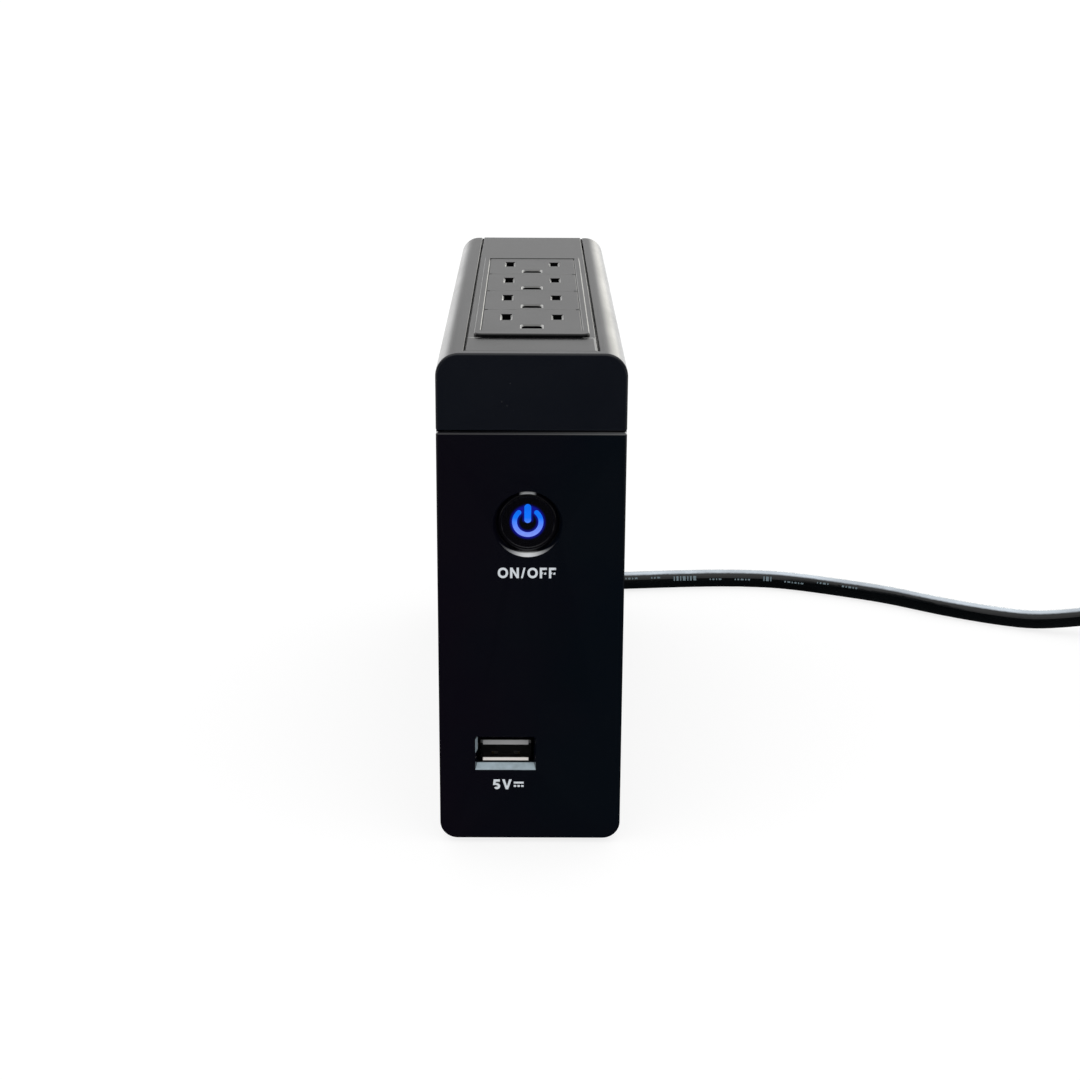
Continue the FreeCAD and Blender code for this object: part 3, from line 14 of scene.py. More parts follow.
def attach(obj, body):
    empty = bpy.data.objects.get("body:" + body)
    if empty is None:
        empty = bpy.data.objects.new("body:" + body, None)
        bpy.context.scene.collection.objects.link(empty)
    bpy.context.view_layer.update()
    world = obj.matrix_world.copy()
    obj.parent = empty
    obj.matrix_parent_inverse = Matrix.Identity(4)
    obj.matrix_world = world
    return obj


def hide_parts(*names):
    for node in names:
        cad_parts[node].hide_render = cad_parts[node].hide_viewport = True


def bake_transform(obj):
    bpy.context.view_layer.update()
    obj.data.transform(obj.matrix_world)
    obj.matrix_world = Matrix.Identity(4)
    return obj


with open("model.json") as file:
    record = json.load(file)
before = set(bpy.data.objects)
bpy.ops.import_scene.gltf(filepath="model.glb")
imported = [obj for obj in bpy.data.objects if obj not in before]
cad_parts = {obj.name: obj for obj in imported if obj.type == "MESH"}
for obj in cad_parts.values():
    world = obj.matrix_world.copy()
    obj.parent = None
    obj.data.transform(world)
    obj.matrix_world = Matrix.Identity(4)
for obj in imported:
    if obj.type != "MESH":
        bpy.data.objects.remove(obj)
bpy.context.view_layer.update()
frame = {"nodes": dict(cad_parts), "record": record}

MM = 0.001

# Centres on the front panel
BUTTON_X, BUTTON_Z = -0.0008, 0.0825
PORT_X, PORT_Z = -0.00605, 0.02408

scene = bpy.context.scene
scene.view_settings.view_transform = "Standard"
scene.view_settings.look = "None"
scene.view_settings.exposure = 0.0
scene.view_settings.gamma = 1.0


# ---------------------------------------------------------------- node helpers
class Field:
    """A shader value. Arithmetic on it adds math nodes."""

    def __init__(self, graph, socket):
        self.graph = graph
        self.socket = socket

    def math(self, operation, other=0.0, clamp=False):
        return self.graph.math(operation, self, other, clamp)

    def __add__(self, other):
        return self.math("ADD", other)

    def __radd__(self, other):
        return self.graph.math("ADD", other, self)

    def __sub__(self, other):
        return self.math("SUBTRACT", other)

    def __rsub__(self, other):
        return self.graph.math("SUBTRACT", other, self)

    def __mul__(self, other):
        return self.math("MULTIPLY", other)

    def __truediv__(self, other):
        return self.math("DIVIDE", other)

    def __pow__(self, other):
        return self.math("POWER", other)

    def __abs__(self):
        return self.math("ABSOLUTE")

    def max(self, other):
        return self.math("MAXIMUM", other)

    def min(self, other):
        return self.math("MINIMUM", other)

    def map(self, span, to=(0.0, 1.0), smooth=False):
        """Carry the span onto another one, clamped at its ends."""
        ends = {"From Min": span[0], "From Max": span[1], "To Min": to[0], "To Max": to[1]}
        kind = "SMOOTHSTEP" if smooth else "LINEAR"
        inputs = {"Value": self, **ends}
        return self.graph.make("MapRange", "Result", inputs, interpolation_type=kind)

    def within(self, low, high, soft):
        """1 between low and high, with soft ends."""
        rise = self.map((low - soft, low + soft))
        return rise * self.map((high - soft, high + soft), to=(1.0, 0.0))

    def mix(self, at_zero, at_one):
        """A colour between two, by this value."""
        inputs = {"Factor": self, "A": at_zero, "B": at_one}
        return self.graph.make("Mix", "Result", inputs, data_type="RGBA")

    def bump(self, strength, distance, normal=None):
        """A normal with this value as height."""
        inputs = {"Height": self, "Strength": strength, "Distance": distance}
        if normal is not None:
            inputs["Normal"] = normal
        return self.graph.make("Bump", "Normal", inputs)


class Graph:
    """The node tree of a material or world, with short ways to add nodes."""

    def __init__(self, owner, output_kind, coordinates):
        owner.use_nodes = True
        self.tree = owner.node_tree
        self.tree.nodes.clear()
        self.output = self.node(output_kind)
        self.place = self.make("TexCoord", coordinates)

    def feed(self, socket, value):
        if isinstance(value, Field):
            self.tree.links.new(value.socket, socket)
            return
        if isinstance(value, tuple) and len(value) == 3 and socket.type == "RGBA":
            value = (*value, 1.0)
        socket.default_value = value

    def node(self, kind, inputs=None, **settings):
        node = self.tree.nodes.new("ShaderNode" + kind)
        for key, value in settings.items():
            setattr(node, key, value)
        for key, value in (inputs or {}).items():
            self.feed(node.inputs[key], value)
        return node

    def make(self, kind, result, inputs=None, **settings):
        """Add a node and return one of its outputs."""
        return Field(self, self.node(kind, inputs, **settings).outputs[result])

    def math(self, operation, first, second=0.0, clamp=False):
        inputs = {0: first, 1: second}
        return self.make("Math", 0, inputs, operation=operation, use_clamp=clamp)

    def split(self, vector):
        node = self.node("SeparateXYZ", {0: vector})
        return [Field(self, node.outputs[axis]) for axis in "XYZ"]

    def geometry(self, result):
        """The X, Y and Z parts of one output of a geometry node."""
        return self.split(self.make("NewGeometry", result))

    def noise(self, scale, detail=2.0, rough=0.5, distort=0.0, vector=None):
        return self.make("TexNoise", "Fac", {
            "Vector": vector or self.place, "Scale": scale, "Detail": detail,
            "Roughness": rough, "Distortion": distort})

    def stretched(self, scale):
        return self.make("Mapping", "Vector", {"Vector": self.place, "Scale": scale})

    def voronoi(self, scale, feature="F1"):
        inputs = {"Vector": self.place, "Scale": scale}
        return self.make("TexVoronoi", "Distance", inputs, feature=feature)

    def bands(self, axis, scale, distort, detail=2.0):
        """Parallel waves along one axis."""
        inputs = {"Vector": self.place, "Scale": scale, "Distortion": distort, "Detail": detail}
        return self.make("TexWave", "Fac", inputs, wave_type="BANDS", bands_direction=axis)

    def edge(self, radius):
        """1 on sharp convex or concave edges, 0 on flats."""
        bevel = self.make("Bevel", "Normal", {"Radius": radius}, samples=6)
        normal = self.make("NewGeometry", "Normal")
        dot = self.make("VectorMath", "Value", {0: bevel, 1: normal}, operation="DOT_PRODUCT")
        return (1.0 - dot).map((0.02, 0.25))

    def ramp(self, factor, stops):
        """A colour ramp from (position, colour) stops in rising order."""
        node = self.node("ValToRGB", {"Fac": factor})
        elements = node.color_ramp.elements
        for element, (position, color) in zip(elements, (stops[0], stops[-1])):
            element.position = position
            element.color = (*color, 1)
        for position, color in stops[1:-1]:
            elements.new(position).color = (*color, 1)
        return Field(self, node.outputs["Color"])

    def finish(self, shader):
        self.feed(self.output.inputs["Surface"], shader)

    def principled(self, **inputs):
        self.surface = self.node("BsdfPrincipled")
        self.set(**inputs)
        self.finish(Field(self, self.surface.outputs[0]))

    def set(self, **inputs):
        """Feed inputs of the principled surface, with _ for spaces in their names."""
        for key, value in inputs.items():
            self.feed(self.surface.inputs[key.replace("_", " ")], value)


MATERIALS = {}


def new_material(name):
    MATERIALS[name] = bpy.data.materials.new(name)
    return Graph(MATERIALS[name], "OutputMaterial", "Object")


def length(first, second):
    return (first * first + second * second).math("SQRT")


def scaled(color, factor, lift=0.0):
    return tuple(min(1.0, c * factor + lift) for c in color)


# ---------------------------------------------------------------- kinds of material
def plastic(name, color, rough=0.32, spread=0.06, grain=5200.0, bump=0.10, wear=0.35,
            dust=0.25, finish=None):
    """Moulded plastic: eroded grain, uneven gloss, a little dust and slightly shinier edges.

    With no color, the finish sets the whole base colour.
    """
    graph = new_material(name)
    fine = graph.noise(scale=grain, detail=3.0, rough=0.65)
    pits = graph.voronoi(scale=grain * 0.55)
    flow = graph.noise(scale=38.0, detail=4.0, rough=0.6, distort=0.4)
    smear = graph.noise(scale=11.0, distort=1.2, vector=graph.stretched((1.0, 0.55, 2.2)))
    normal = (fine + pits * 0.45).bump(strength=bump, distance=0.00003)
    ripple = graph.noise(scale=900.0)
    normal = ripple.bump(strength=bump * 0.25, distance=0.00002, normal=normal)
    edge = graph.edge(radius=0.00035)
    gloss = flow.map((0.3, 0.7), to=(rough - spread, rough + spread))
    gloss = gloss + smear.map((0.45, 0.75), to=(0.0, spread * 0.7))
    gloss = gloss.math("SUBTRACT", edge * 0.06, clamp=True)
    graph.principled(Roughness=gloss, IOR=1.5, Normal=normal, Coat_Roughness=0.08)
    body = None
    if color:
        speck = graph.voronoi(scale=420.0).math("LESS_THAN", 0.055)
        patches = graph.noise(scale=70.0, detail=3.0).map((0.52, 0.66))
        lint = speck * (patches * dust)
        body = flow.map((0.35, 0.75), to=(0.0, 0.25)).mix(color, scaled(color, 1.5))
        body = (edge * wear).mix(body, scaled(color, 2.6, lift=0.012))
        body = lint.mix(body, (0.32, 0.32, 0.31))
        graph.set(Base_Color=body)
    # The finish paints highlights, glow or shade onto some pieces
    if finish:
        finish(graph, body)


def metal(name, color, rough=0.25, spread=0.08, brush=(1.0, 0.06, 1.0),
          tarnish=(0.3, 0.26, 0.2), finish=None):
    """Bare metal with drawing lines, long where brush is small, and uneven tarnish.

    With no color, the finish sets the whole base colour.
    """
    graph = new_material(name)
    lines = graph.noise(scale=4200.0, detail=3.0, rough=0.6, vector=graph.stretched(brush))
    blot = graph.noise(scale=160.0, detail=4.0, rough=0.6)
    gloss = lines.map((0.3, 0.7), to=(rough - spread, rough + spread))
    gloss = gloss.math("ADD", blot.map((0.5, 0.8), to=(0.0, 0.12)), clamp=True)
    normal = lines.bump(strength=0.12, distance=0.00002)
    graph.principled(Metallic=1.0, Roughness=gloss, Normal=normal)
    if color:
        edge = graph.edge(radius=0.0002)
        body = blot.map((0.48, 0.75), to=(0.0, 0.25)).mix(color, tarnish)
        graph.set(Base_Color=(edge * 0.4).mix(body, scaled(color, 1.25)))
    # The finish paints highlights, glow or shade onto some pieces
    if finish:
        finish(graph)


def rubber(name, color, rough=0.62):
    graph = new_material(name)
    fine = graph.noise(scale=2600.0, detail=4.0, rough=0.7)
    cloud = graph.noise(scale=120.0, detail=3.0)
    paler = scaled(color, 2.2, lift=0.006)
    graph.principled(
        Base_Color=cloud.map((0.4, 0.75), to=(0.0, 0.35)).mix(color, paler),
        Roughness=cloud.map((0.3, 0.7), to=(rough - 0.08, rough + 0.08)),
        Normal=fine.bump(strength=0.25, distance=0.00005),
        Specular_IOR_Level=0.4)


def board(name):
    """Solder mask over copper tracks, with pads and vias."""
    graph = new_material(name)
    border = graph.voronoi(scale=240.0, feature="DISTANCE_TO_EDGE")
    tracks = border.map((0.03, 0.06), to=(1.0, 0.0))
    vias = graph.voronoi(scale=330.0).math("LESS_THAN", 0.14)
    weave = graph.noise(scale=2600.0)
    body = tracks.mix((0.010, 0.085, 0.035), (0.022, 0.16, 0.065))
    graph.principled(
        Base_Color=(vias * 0.85).mix(body, (0.55, 0.50, 0.34)),
        Roughness=graph.noise(scale=60.0).map((0.3, 0.7), to=(0.25, 0.42)),
        Normal=(tracks + weave * 0.1).bump(strength=0.3, distance=0.00004))


def wound(name, color):
    """Enamelled copper wire, as fine parallel turns."""
    graph = new_material(name)
    turns = graph.bands("Z", scale=1500.0 / 6.28, distort=0.6, detail=1.0)
    graph.principled(
        Base_Color=turns.map((0.0, 0.5), to=(0.7, 0.0)).mix(color, scaled(color, 0.3)),
        Metallic=0.85,
        Roughness=graph.noise(scale=200.0).map((0.3, 0.7), to=(0.22, 0.4)),
        Normal=turns.bump(strength=0.9, distance=0.0002))


def laminated(name):
    """Stacked varnished sheets."""
    graph = new_material(name)
    sheets = graph.bands("X", scale=320.0, distort=0.3)
    graph.principled(
        Base_Color=sheets.mix((0.10, 0.10, 0.11), (0.28, 0.27, 0.26)),
        Metallic=0.7,
        Roughness=graph.noise(scale=150.0).map((0.3, 0.7), to=(0.35, 0.6)),
        Normal=sheets.bump(strength=0.5, distance=0.0001))


def lit(name):
    """The lit symbol: azure at the top of the bar, deeper round the ring, paler at its foot."""
    graph = new_material(name)
    height = graph.split(graph.place)[2].map((0.0780, 0.0870))
    color = graph.ramp(height, (
        (0.08, (0.22, 0.31, 0.91)),
        (0.30, (0.15, 0.26, 0.93)),
        (0.50, (0.060, 0.220, 0.95)),
        (0.62, (0.002, 0.165, 0.93)),
        (1.0, (0.0, 0.150, 0.88)),
    ))
    brightness = 1.0
    flicker = graph.noise(scale=900.0).map((0.3, 0.7), to=(0.92, 1.06))
    graph.principled(
        Base_Color=(0.002, 0.006, 0.03),
        Roughness=graph.noise(scale=500.0).map((0.3, 0.7), to=(0.3, 0.45)),
        Emission_Color=color,
        Emission_Strength=flicker * brightness,
        Specular_IOR_Level=0.12)


def printed(name, color):
    """Pad-printed ink, a little uneven."""
    graph = new_material(name)
    patch = graph.noise(scale=1500.0, detail=3.0, rough=0.7)
    graph.principled(
        Base_Color=patch.map((0.35, 0.65), to=(0.0, 0.3)).mix(color, scaled(color, 0.6)),
        Roughness=patch.map((0.3, 0.7), to=(0.45, 0.6)),
        Normal=patch.bump(strength=0.2, distance=0.00002))


def clear_glass(name):
    graph = new_material(name)
    smear = graph.noise(scale=300.0, detail=3.0)
    graph.principled(
        Base_Color=(0.9, 0.95, 0.95),
        Roughness=smear.map((0.4, 0.7), to=(0.02, 0.12)),
        Normal=smear.bump(strength=0.05, distance=0.00002),
        Transmission_Weight=0.85)


# ---------------------------------------------------------------- painted highlights, glow and shade
# Masks in a piece's own coordinates. Limits are places in metres, or parts of a unit normal.
# Colour of the painted highlights on joints, bevels and seams
JOINT_HIGHLIGHT_COLOR = (0.80, 0.80, 0.78)


def panel_painted_highlights(graph, body):
    """Painted highlights on the port's recess, the button's bevel and the panel's top edge."""
    x, y, z = graph.split(graph.place)
    normal_x, normal_y, normal_z = graph.geometry("Normal")

    # Base colour: violet black to blue black, drifting across
    drift = x.map((-0.022, 0.022), to=(0.0, 0.7))
    cast = (drift + graph.noise(scale=34.0, detail=3.0, rough=0.6)).map((0.45, 1.15))
    body = cast.mix((0.0020, 0.0012, 0.0042), (0.0004, 0.0020, 0.0046))
    sunk = y.map((-0.08849, -0.08845))  # behind the panel's front face

    # Port recess: painted highlights on the lower ledge, facing up, and on the left wall
    highlight_streaks = graph.noise(scale=420.0, detail=3.0, rough=0.6)
    ledge_highlight = (sunk * x.within(PORT_X - 0.0079, PORT_X + 0.0079, soft=0.0001)
             * z.within(PORT_Z - 0.0046, PORT_Z - 0.00332, soft=0.00005)
             * normal_z.map((0.2, 0.5)) * highlight_streaks.map((0.3, 0.7), to=(0.36, 0.50)))
    wall = (sunk * x.within(PORT_X - 0.0079, PORT_X - 0.0066, soft=0.0001)
            * z.within(PORT_Z + 0.0001, PORT_Z + 0.0036, soft=0.0003)
            * normal_x.map((0.1, 0.3), to=(0.0, 0.26)))

    # Bevel round the button: a painted highlight, a crescent that is brightest straight below
    # the centre
    radius = length(x - BUTTON_X, z - BUTTON_Z)
    below = (BUTTON_Z - z) / radius
    inner_edge = (below * below).map((0.0, 1.0), to=(0.00826, 0.00754))
    well_highlight = (sunk * normal_y.map((-0.95, -0.85))
            * radius.within(0.00740, 0.00806, soft=0.00003)
            * (radius - inner_edge).map((-0.00010, 0.00010), smooth=True))
    crescent_highlight = below.max(0.0) ** 8.5 * 0.74
    well_highlight = well_highlight * (crescent_highlight + below.map((0.0, 0.6), to=(0.0, 0.018)))

    # Top edge: a painted highlight, brighter to the right
    top = (z.within(0.1041, 0.1052, soft=0.00002) * normal_z.map((0.2, 0.5))
           * y.map((-0.0878, -0.0872), to=(1.0, 0.0)))
    rightward = x.map((-0.019, 0.0225))
    top = top * (0.006 + rightward * rightward * 0.06)

    # All painted highlights, in a pale tint, laid into base colour and emission
    highlight_mask = ledge_highlight.max(wall).max(well_highlight.max(top))
    highlight_tint = z.map((0.05, 0.06)).mix((0.72, 0.88, 0.97), (0.86, 0.87, 0.87))
    graph.set(Base_Color=highlight_mask.mix(body, highlight_tint), Emission_Color=highlight_tint,
              Emission_Strength=highlight_mask * 0.30)


def cap_painted_highlight_and_glow(graph, body):
    """A painted highlight at the top of the cap's rim, and a painted glow of the lit symbol on
    the plastic round it.
    """
    x, y, z = graph.split(graph.place)
    _, normal_y, normal_z = graph.geometry("Normal")
    # Painted highlight along the top of the rim, narrow across
    across = abs(x - BUTTON_X).map((0.0011, 0.0022), to=(0.42, 0.0), smooth=True)
    rim = (normal_z.within(0.50, 0.97, soft=0.06) * across
           * z.map((BUTTON_Z + 0.0062, BUTTON_Z + 0.0066)) * y.map((-0.0855, -0.0858)))

    # Distance from the symbol: a ring, and an upright bar above the centre
    radius = length(x - BUTTON_X, z - BUTTON_Z)
    ring = abs(radius - 0.00313) - 0.00057
    beside = (abs(x - BUTTON_X) - 0.00080).max(0.0)
    above = (abs(z - (BUTTON_Z + 0.0021)) - 0.0016).max(0.0)
    outside = ring.min(length(beside, above))
    # Painted glow of the lit symbol on the plastic round it
    painted_glow = outside.map((0.0, 0.00105), to=(1.0, 0.0), smooth=True) ** 2.4
    painted_glow = painted_glow * normal_y.map((-0.8, -0.95))

    graph.set(
        Base_Color=rim.mix(body, (0.80, 0.82, 0.86)),
        Emission_Color=rim.map((0.0, 0.05)).mix((0.010, 0.014, 0.62), (0.82, 0.83, 0.84)),
        Emission_Strength=painted_glow * 0.42 + rim * 0.36)


def outlet_painted_highlights(graph, body):
    """Painted highlights: fine bright lines where the four faces meet, and on bevelled edges
    where they catch the light.
    """
    x, y, z = graph.split(graph.place)
    normal_x, normal_y, normal_z = graph.geometry("Normal")
    first_front, face_pitch = -0.0648, 0.0268  # front of the first face, and their spacing
    # Painted highlights along the lines where the faces meet
    joint_highlights = None
    for k in (1, 2, 3):
        middle = first_front + face_pitch * k
        joint_highlight = y.within(middle - 0.00034, middle + 0.00030, soft=0.00012)
        joint_highlights = joint_highlights.max(joint_highlight) if joint_highlights else joint_highlight
    joint_highlights = joint_highlights * x.within(-0.0112, 0.0112, soft=0.0003) * 0.14
    # Painted highlights on the bevelled edges, seen on the sides and the front
    bevel_highlights = (normal_z.within(0.45, 0.92, soft=0.04) * z.map((0.1236, 0.1237))
              * x.within(-0.009, 0.009, soft=0.0001))
    side_bevel_highlight = bevel_highlights * abs(normal_x).map((0.35, 0.6), to=(0.0, 0.62))
    front_bevel_highlight = bevel_highlights * normal_y.map((-0.35, -0.6), to=(0.0, 0.20))
    highlight_mask = joint_highlights.max(side_bevel_highlight.max(front_bevel_highlight))
    graph.set(Base_Color=highlight_mask.mix(body, JOINT_HIGHLIGHT_COLOR))


def strip_painted_highlight(graph, body):
    """A painted highlight: a fine bright line where the top strip meets the front corners of the
    outlet frame.
    """
    x, y, _ = graph.split(graph.place)
    flat_top = graph.geometry("Normal")[2].map((0.6, 0.8))
    across = (y.within(-0.0707, -0.0701, soft=0.00015)
              * abs(x).within(0.0124, 0.0149, soft=0.0005)
              * x.map((-0.014, 0.014), to=(0.35, 0.5)))
    along = (x.within(0.01465, 0.01500, soft=0.0001)
             * y.within(-0.0850, -0.0705, soft=0.0006) * 0.42)
    # The painted highlight fades out when seen steeply from above
    view_z = graph.geometry("Incoming")[2]
    highlight_mask = flat_top * across.max(along) * view_z.map((0.35, 0.6), to=(1.0, 0.0), smooth=True)
    graph.set(Base_Color=highlight_mask.mix(body, JOINT_HIGHLIGHT_COLOR))


def shell_painted_highlight_and_shade(graph):
    """A painted highlight on the lower edge of the port's mouth, a fainter painted highlight in
    a strip further in, and painted shade elsewhere.
    """
    x, y, z = graph.split(graph.place)
    lip_highlight = (y.map((-0.0849, -0.0851))
           * z.within(PORT_Z - 0.00296, PORT_Z - 0.00248, soft=0.00002)
           * x.within(PORT_X - 0.0056, PORT_X + 0.0056, soft=0.0001) * 0.84)
    band_highlight = (y.within(-0.0832, -0.0816, soft=0.0003)
            * z.map((PORT_Z - 0.0025, PORT_Z - 0.0022))
            * z.map((PORT_Z - 0.0018, PORT_Z - 0.0014), to=(1.0, 0.0)))
    # Painted shade: the rest of the shell is darkened
    dark = 1.0 - lip_highlight.max(band_highlight * 0.35)
    graph.set(
        Base_Color=dark.mix((0.92, 0.89, 0.85), (0.010, 0.010, 0.011)),
        Metallic=1.0 - lip_highlight,
        Emission_Color=(0.92, 0.88, 0.84),
        Emission_Strength=lip_highlight * 0.42)


def cord_painted_highlight(graph, body):
    """A painted highlight along the glossy jacket's upper side, strongest seen from the front.
    """
    # Painted highlight on the jacket's top
    top = graph.geometry("Normal")[2].map((0.74, 0.92), smooth=True)
    view_y = graph.geometry("Incoming")[1]
    top = top * view_y.map((-0.2, -0.7), to=(0.25, 1.0), smooth=True)
    highlight_streak = graph.noise(scale=60.0, detail=3.0, rough=0.6)
    highlight_mask = top * highlight_streak.map((0.3, 0.7), to=(0.60, 0.90))
    graph.set(Base_Color=highlight_mask.mix(body, (0.80, 0.89, 0.98)), Metallic=highlight_mask * 0.9)


# ---------------------------------------------------------------- materials
INK = (0.0016, 0.0018, 0.0022)
CASE_GLOSS = dict(rough=0.20, spread=0.03, bump=0.06, wear=0.25, dust=0.08)
OUTLET_GLOSS = dict(CASE_GLOSS, grain=4200.0, wear=0.3)

plastic("case_black", INK, **CASE_GLOSS)
plastic("front_bezel_upper", (0.0032, 0.0044, 0.0078), **CASE_GLOSS)
plastic("top_strip", INK, **CASE_GLOSS, finish=strip_painted_highlight)
plastic("panel_black", None, rough=0.18, spread=0.03, bump=0.03, finish=panel_painted_highlights)
plastic("outlet_black", INK, **OUTLET_GLOSS)
plastic("outlet_face", INK, **OUTLET_GLOSS, finish=outlet_painted_highlights)
plastic("inner_plastic", (0.03, 0.03, 0.033), rough=0.5, grain=3000.0, bump=0.2)
rubber("foot_rubber", (0.010, 0.010, 0.010))
plastic("button_black", (0.0010, 0.0009, 0.0022), rough=0.16, spread=0.03, grain=6200.0,
        bump=0.03, wear=0.1, dust=0.04, finish=cap_painted_highlight_and_glow)
lit("symbol_blue")
plastic("lamp_blue", (0.05, 0.12, 0.6), rough=0.12, spread=0.03, grain=4000.0, bump=0.03)
metal("brass", (0.80, 0.60, 0.27))
metal("nickel", (0.62, 0.60, 0.56), rough=0.28)
metal("steel", (0.56, 0.57, 0.58), rough=0.30)
metal("black_screw", (0.035, 0.036, 0.040), rough=0.34, spread=0.06, tarnish=(0.07, 0.06, 0.05))
metal("spring_steel", (0.6, 0.6, 0.62), rough=0.22)
metal("usb_steel", None, rough=0.20, spread=0.05, brush=(0.08, 1.0, 1.0), finish=shell_painted_highlight_and_shade)
plastic("usb_white", (0.29, 0.29, 0.29), rough=0.42, spread=0.05, grain=4000.0)
board("board_green")
laminated("laminations")
wound("copper", (0.72, 0.34, 0.16))
rubber("ferrite", (0.05, 0.055, 0.03), rough=0.5)
plastic("can_sleeve", (0.012, 0.015, 0.05), rough=0.25, spread=0.05, grain=3000.0, bump=0.06)
metal("heat_sink_metal", (0.66, 0.67, 0.69), rough=0.36, brush=(1.0, 1.0, 0.05))
plastic("chip_black", (0.010, 0.010, 0.010), rough=0.5, spread=0.05, grain=2500.0, bump=0.2)
plastic("relay_case", (0.02, 0.04, 0.20), rough=0.28)
clear_glass("fuse_glass")
plastic("film_yellow", (0.60, 0.38, 0.05))
plastic("connector_white", (0.62, 0.60, 0.54), rough=0.45)
plastic("cell_sleeve", (0.01, 0.13, 0.22), rough=0.26, spread=0.05, grain=1800.0, bump=0.06)
plastic("breaker_black", (0.008, 0.008, 0.009), rough=0.45, grain=2600.0, bump=0.2)
plastic("reset_grey", (0.10, 0.10, 0.105), rough=0.38)
plastic("cord_pvc", (0.0006, 0.0014, 0.0020), rough=0.20, spread=0.04, grain=2600.0,
        bump=0.05, wear=0.1, dust=0.1, finish=cord_painted_highlight)
plastic("plug_pvc", (0.0035, 0.0035, 0.004), rough=0.42, grain=2600.0, bump=0.2, wear=0.2,
        dust=0.3)
rubber("wire_black", (0.01, 0.01, 0.01), rough=0.4)
rubber("wire_white", (0.6, 0.6, 0.58), rough=0.4)
rubber("wire_green", (0.02, 0.22, 0.05), rough=0.4)
rubber("wire_red", (0.42, 0.01, 0.01), rough=0.4)
printed("print_white", (0.62, 0.66, 0.70))
printed("print_faint", (0.16, 0.22, 0.25))

# Three pieces have a material of their own; the rest take that of their slot.
OWN_MATERIAL = ("outlet_face", "top_strip", "front_bezel_upper")
slot_of = {part["node"]: part["material_slot"] for part in frame["record"]["subparts"]}
for name, piece in frame["nodes"].items():
    piece.data.materials.clear()
    piece.data.materials.append(MATERIALS[name if name in OWN_MATERIAL else slot_of[name]])


# ---------------------------------------------------------------- mesh helpers
def add_object(name, mesh, material):
    mesh.materials.append(MATERIALS[material])
    added = bpy.data.objects.new(name, mesh)
    scene.collection.objects.link(added)
    return added


def add_solid(name, bm, material):
    bmesh.ops.recalc_face_normals(bm, faces=bm.faces[:])
    mesh = bpy.data.meshes.new(name)
    bm.to_mesh(mesh)
    bm.free()
    return add_object(name, mesh, material)


def add_print(name, bm, material):
    """Printed marks that move with the case."""
    added = add_solid(name, bm, material)
    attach(added, "case")


# ---------------------------------------------------------------- panel labels (mm)
PRINT_FRONT, PRINT_BACK = -88.535, -88.49  # Y levels of the ink


def prism(bm, rings):
    """A thin plate of ink from an outline, or an outline and its hole, in X and Z."""
    front, back = [
        [[bm.verts.new((x * MM, y * MM, z * MM)) for x, z in ring] for ring in rings]
        for y in (PRINT_FRONT, PRINT_BACK)]
    count = len(rings[0])
    for r in range(len(rings)):
        for i in range(count):
            j = (i + 1) % count
            quad = [front[r][i], front[r][j], back[r][j], back[r][i]]
            bm.faces.new(quad if r == 0 else quad[::-1])
    if len(rings) == 1:
        bm.faces.new(front[0][::-1])
        bm.faces.new(back[0])
        return
    for layer, flip in ((front, False), (back, True)):
        for i in range(count):
            j = (i + 1) % count
            quad = [layer[0][i], layer[1][i], layer[1][j], layer[0][j]]
            bm.faces.new(quad[::-1] if flip else quad)


def oval(width, height, corner, steps=8):
    """A rounded rectangle, counter-clockwise from the lower right corner."""
    right, top = width - corner, height - corner
    corners = ((right, corner, -90), (right, top, 0), (corner, top, 90), (corner, corner, 180))
    points = []
    for center_x, center_z, start in corners:
        for k in range(steps + 1):
            angle = math.radians(start + 90 * k / steps)
            points.append((center_x + corner * math.cos(angle),
                           center_z + corner * math.sin(angle)))
    return points


# Each glyph gives its width and its shapes. A shape is a list of rings of (x, z) points.
def letter_o(height, stroke):
    width = height * 0.95
    hole_width = width - 2 * stroke
    hole = oval(hole_width, height - 2 * stroke, hole_width * 0.49)
    hole = [(x + stroke, z + stroke) for x, z in hole]
    return width, [[oval(width, height, width * 0.49), hole]]


def letter_n(height, stroke):
    width = height * 0.82
    drop = stroke * 1.15 * 1.45  # height of the diagonal where it meets an upright
    return width, [[[
        (0, 0), (stroke, 0), (stroke, height - drop), (width - stroke, 0), (width, 0),
        (width, height), (width - stroke, height), (width - stroke, drop),
        (stroke, height), (0, height)]]]


def letter_f(height, stroke):
    width = height * 0.66
    arm = width * 0.9
    arm_low = height * 0.46 - stroke * 0.5
    arm_high = height * 0.46 + stroke * 0.42
    return width, [[[
        (0, 0), (stroke, 0), (stroke, arm_low), (arm, arm_low), (arm, arm_high),
        (stroke, arm_high), (stroke, height - stroke), (width, height - stroke),
        (width, height), (0, height)]]]


def slash(height, stroke):
    width = height * 0.42
    foot = stroke * 0.8
    return width, [[[(0, 0), (foot, 0), (width, height), (width - foot, height)]]]


def digit_5(height, stroke):
    width = height * 0.68
    bowl = height * 0.31

    def arc(radius):
        angles = [math.radians(100 - 250 * k / 12) for k in range(13)]
        return [(width - bowl + radius * math.cos(a), bowl + radius * math.sin(a))
                for a in angles]

    flag = [(width * 0.95, height), (width * 0.08, height), (0, height * 0.42),
            (stroke * 0.8, height * 0.42), (stroke, height * 0.46)]
    back = [(stroke * 1.05, height * 0.58), (stroke * 1.15, height - stroke),
            (width * 0.95, height - stroke)]
    return width, [[flag + arc(bowl - stroke) + arc(bowl)[::-1] + back]]


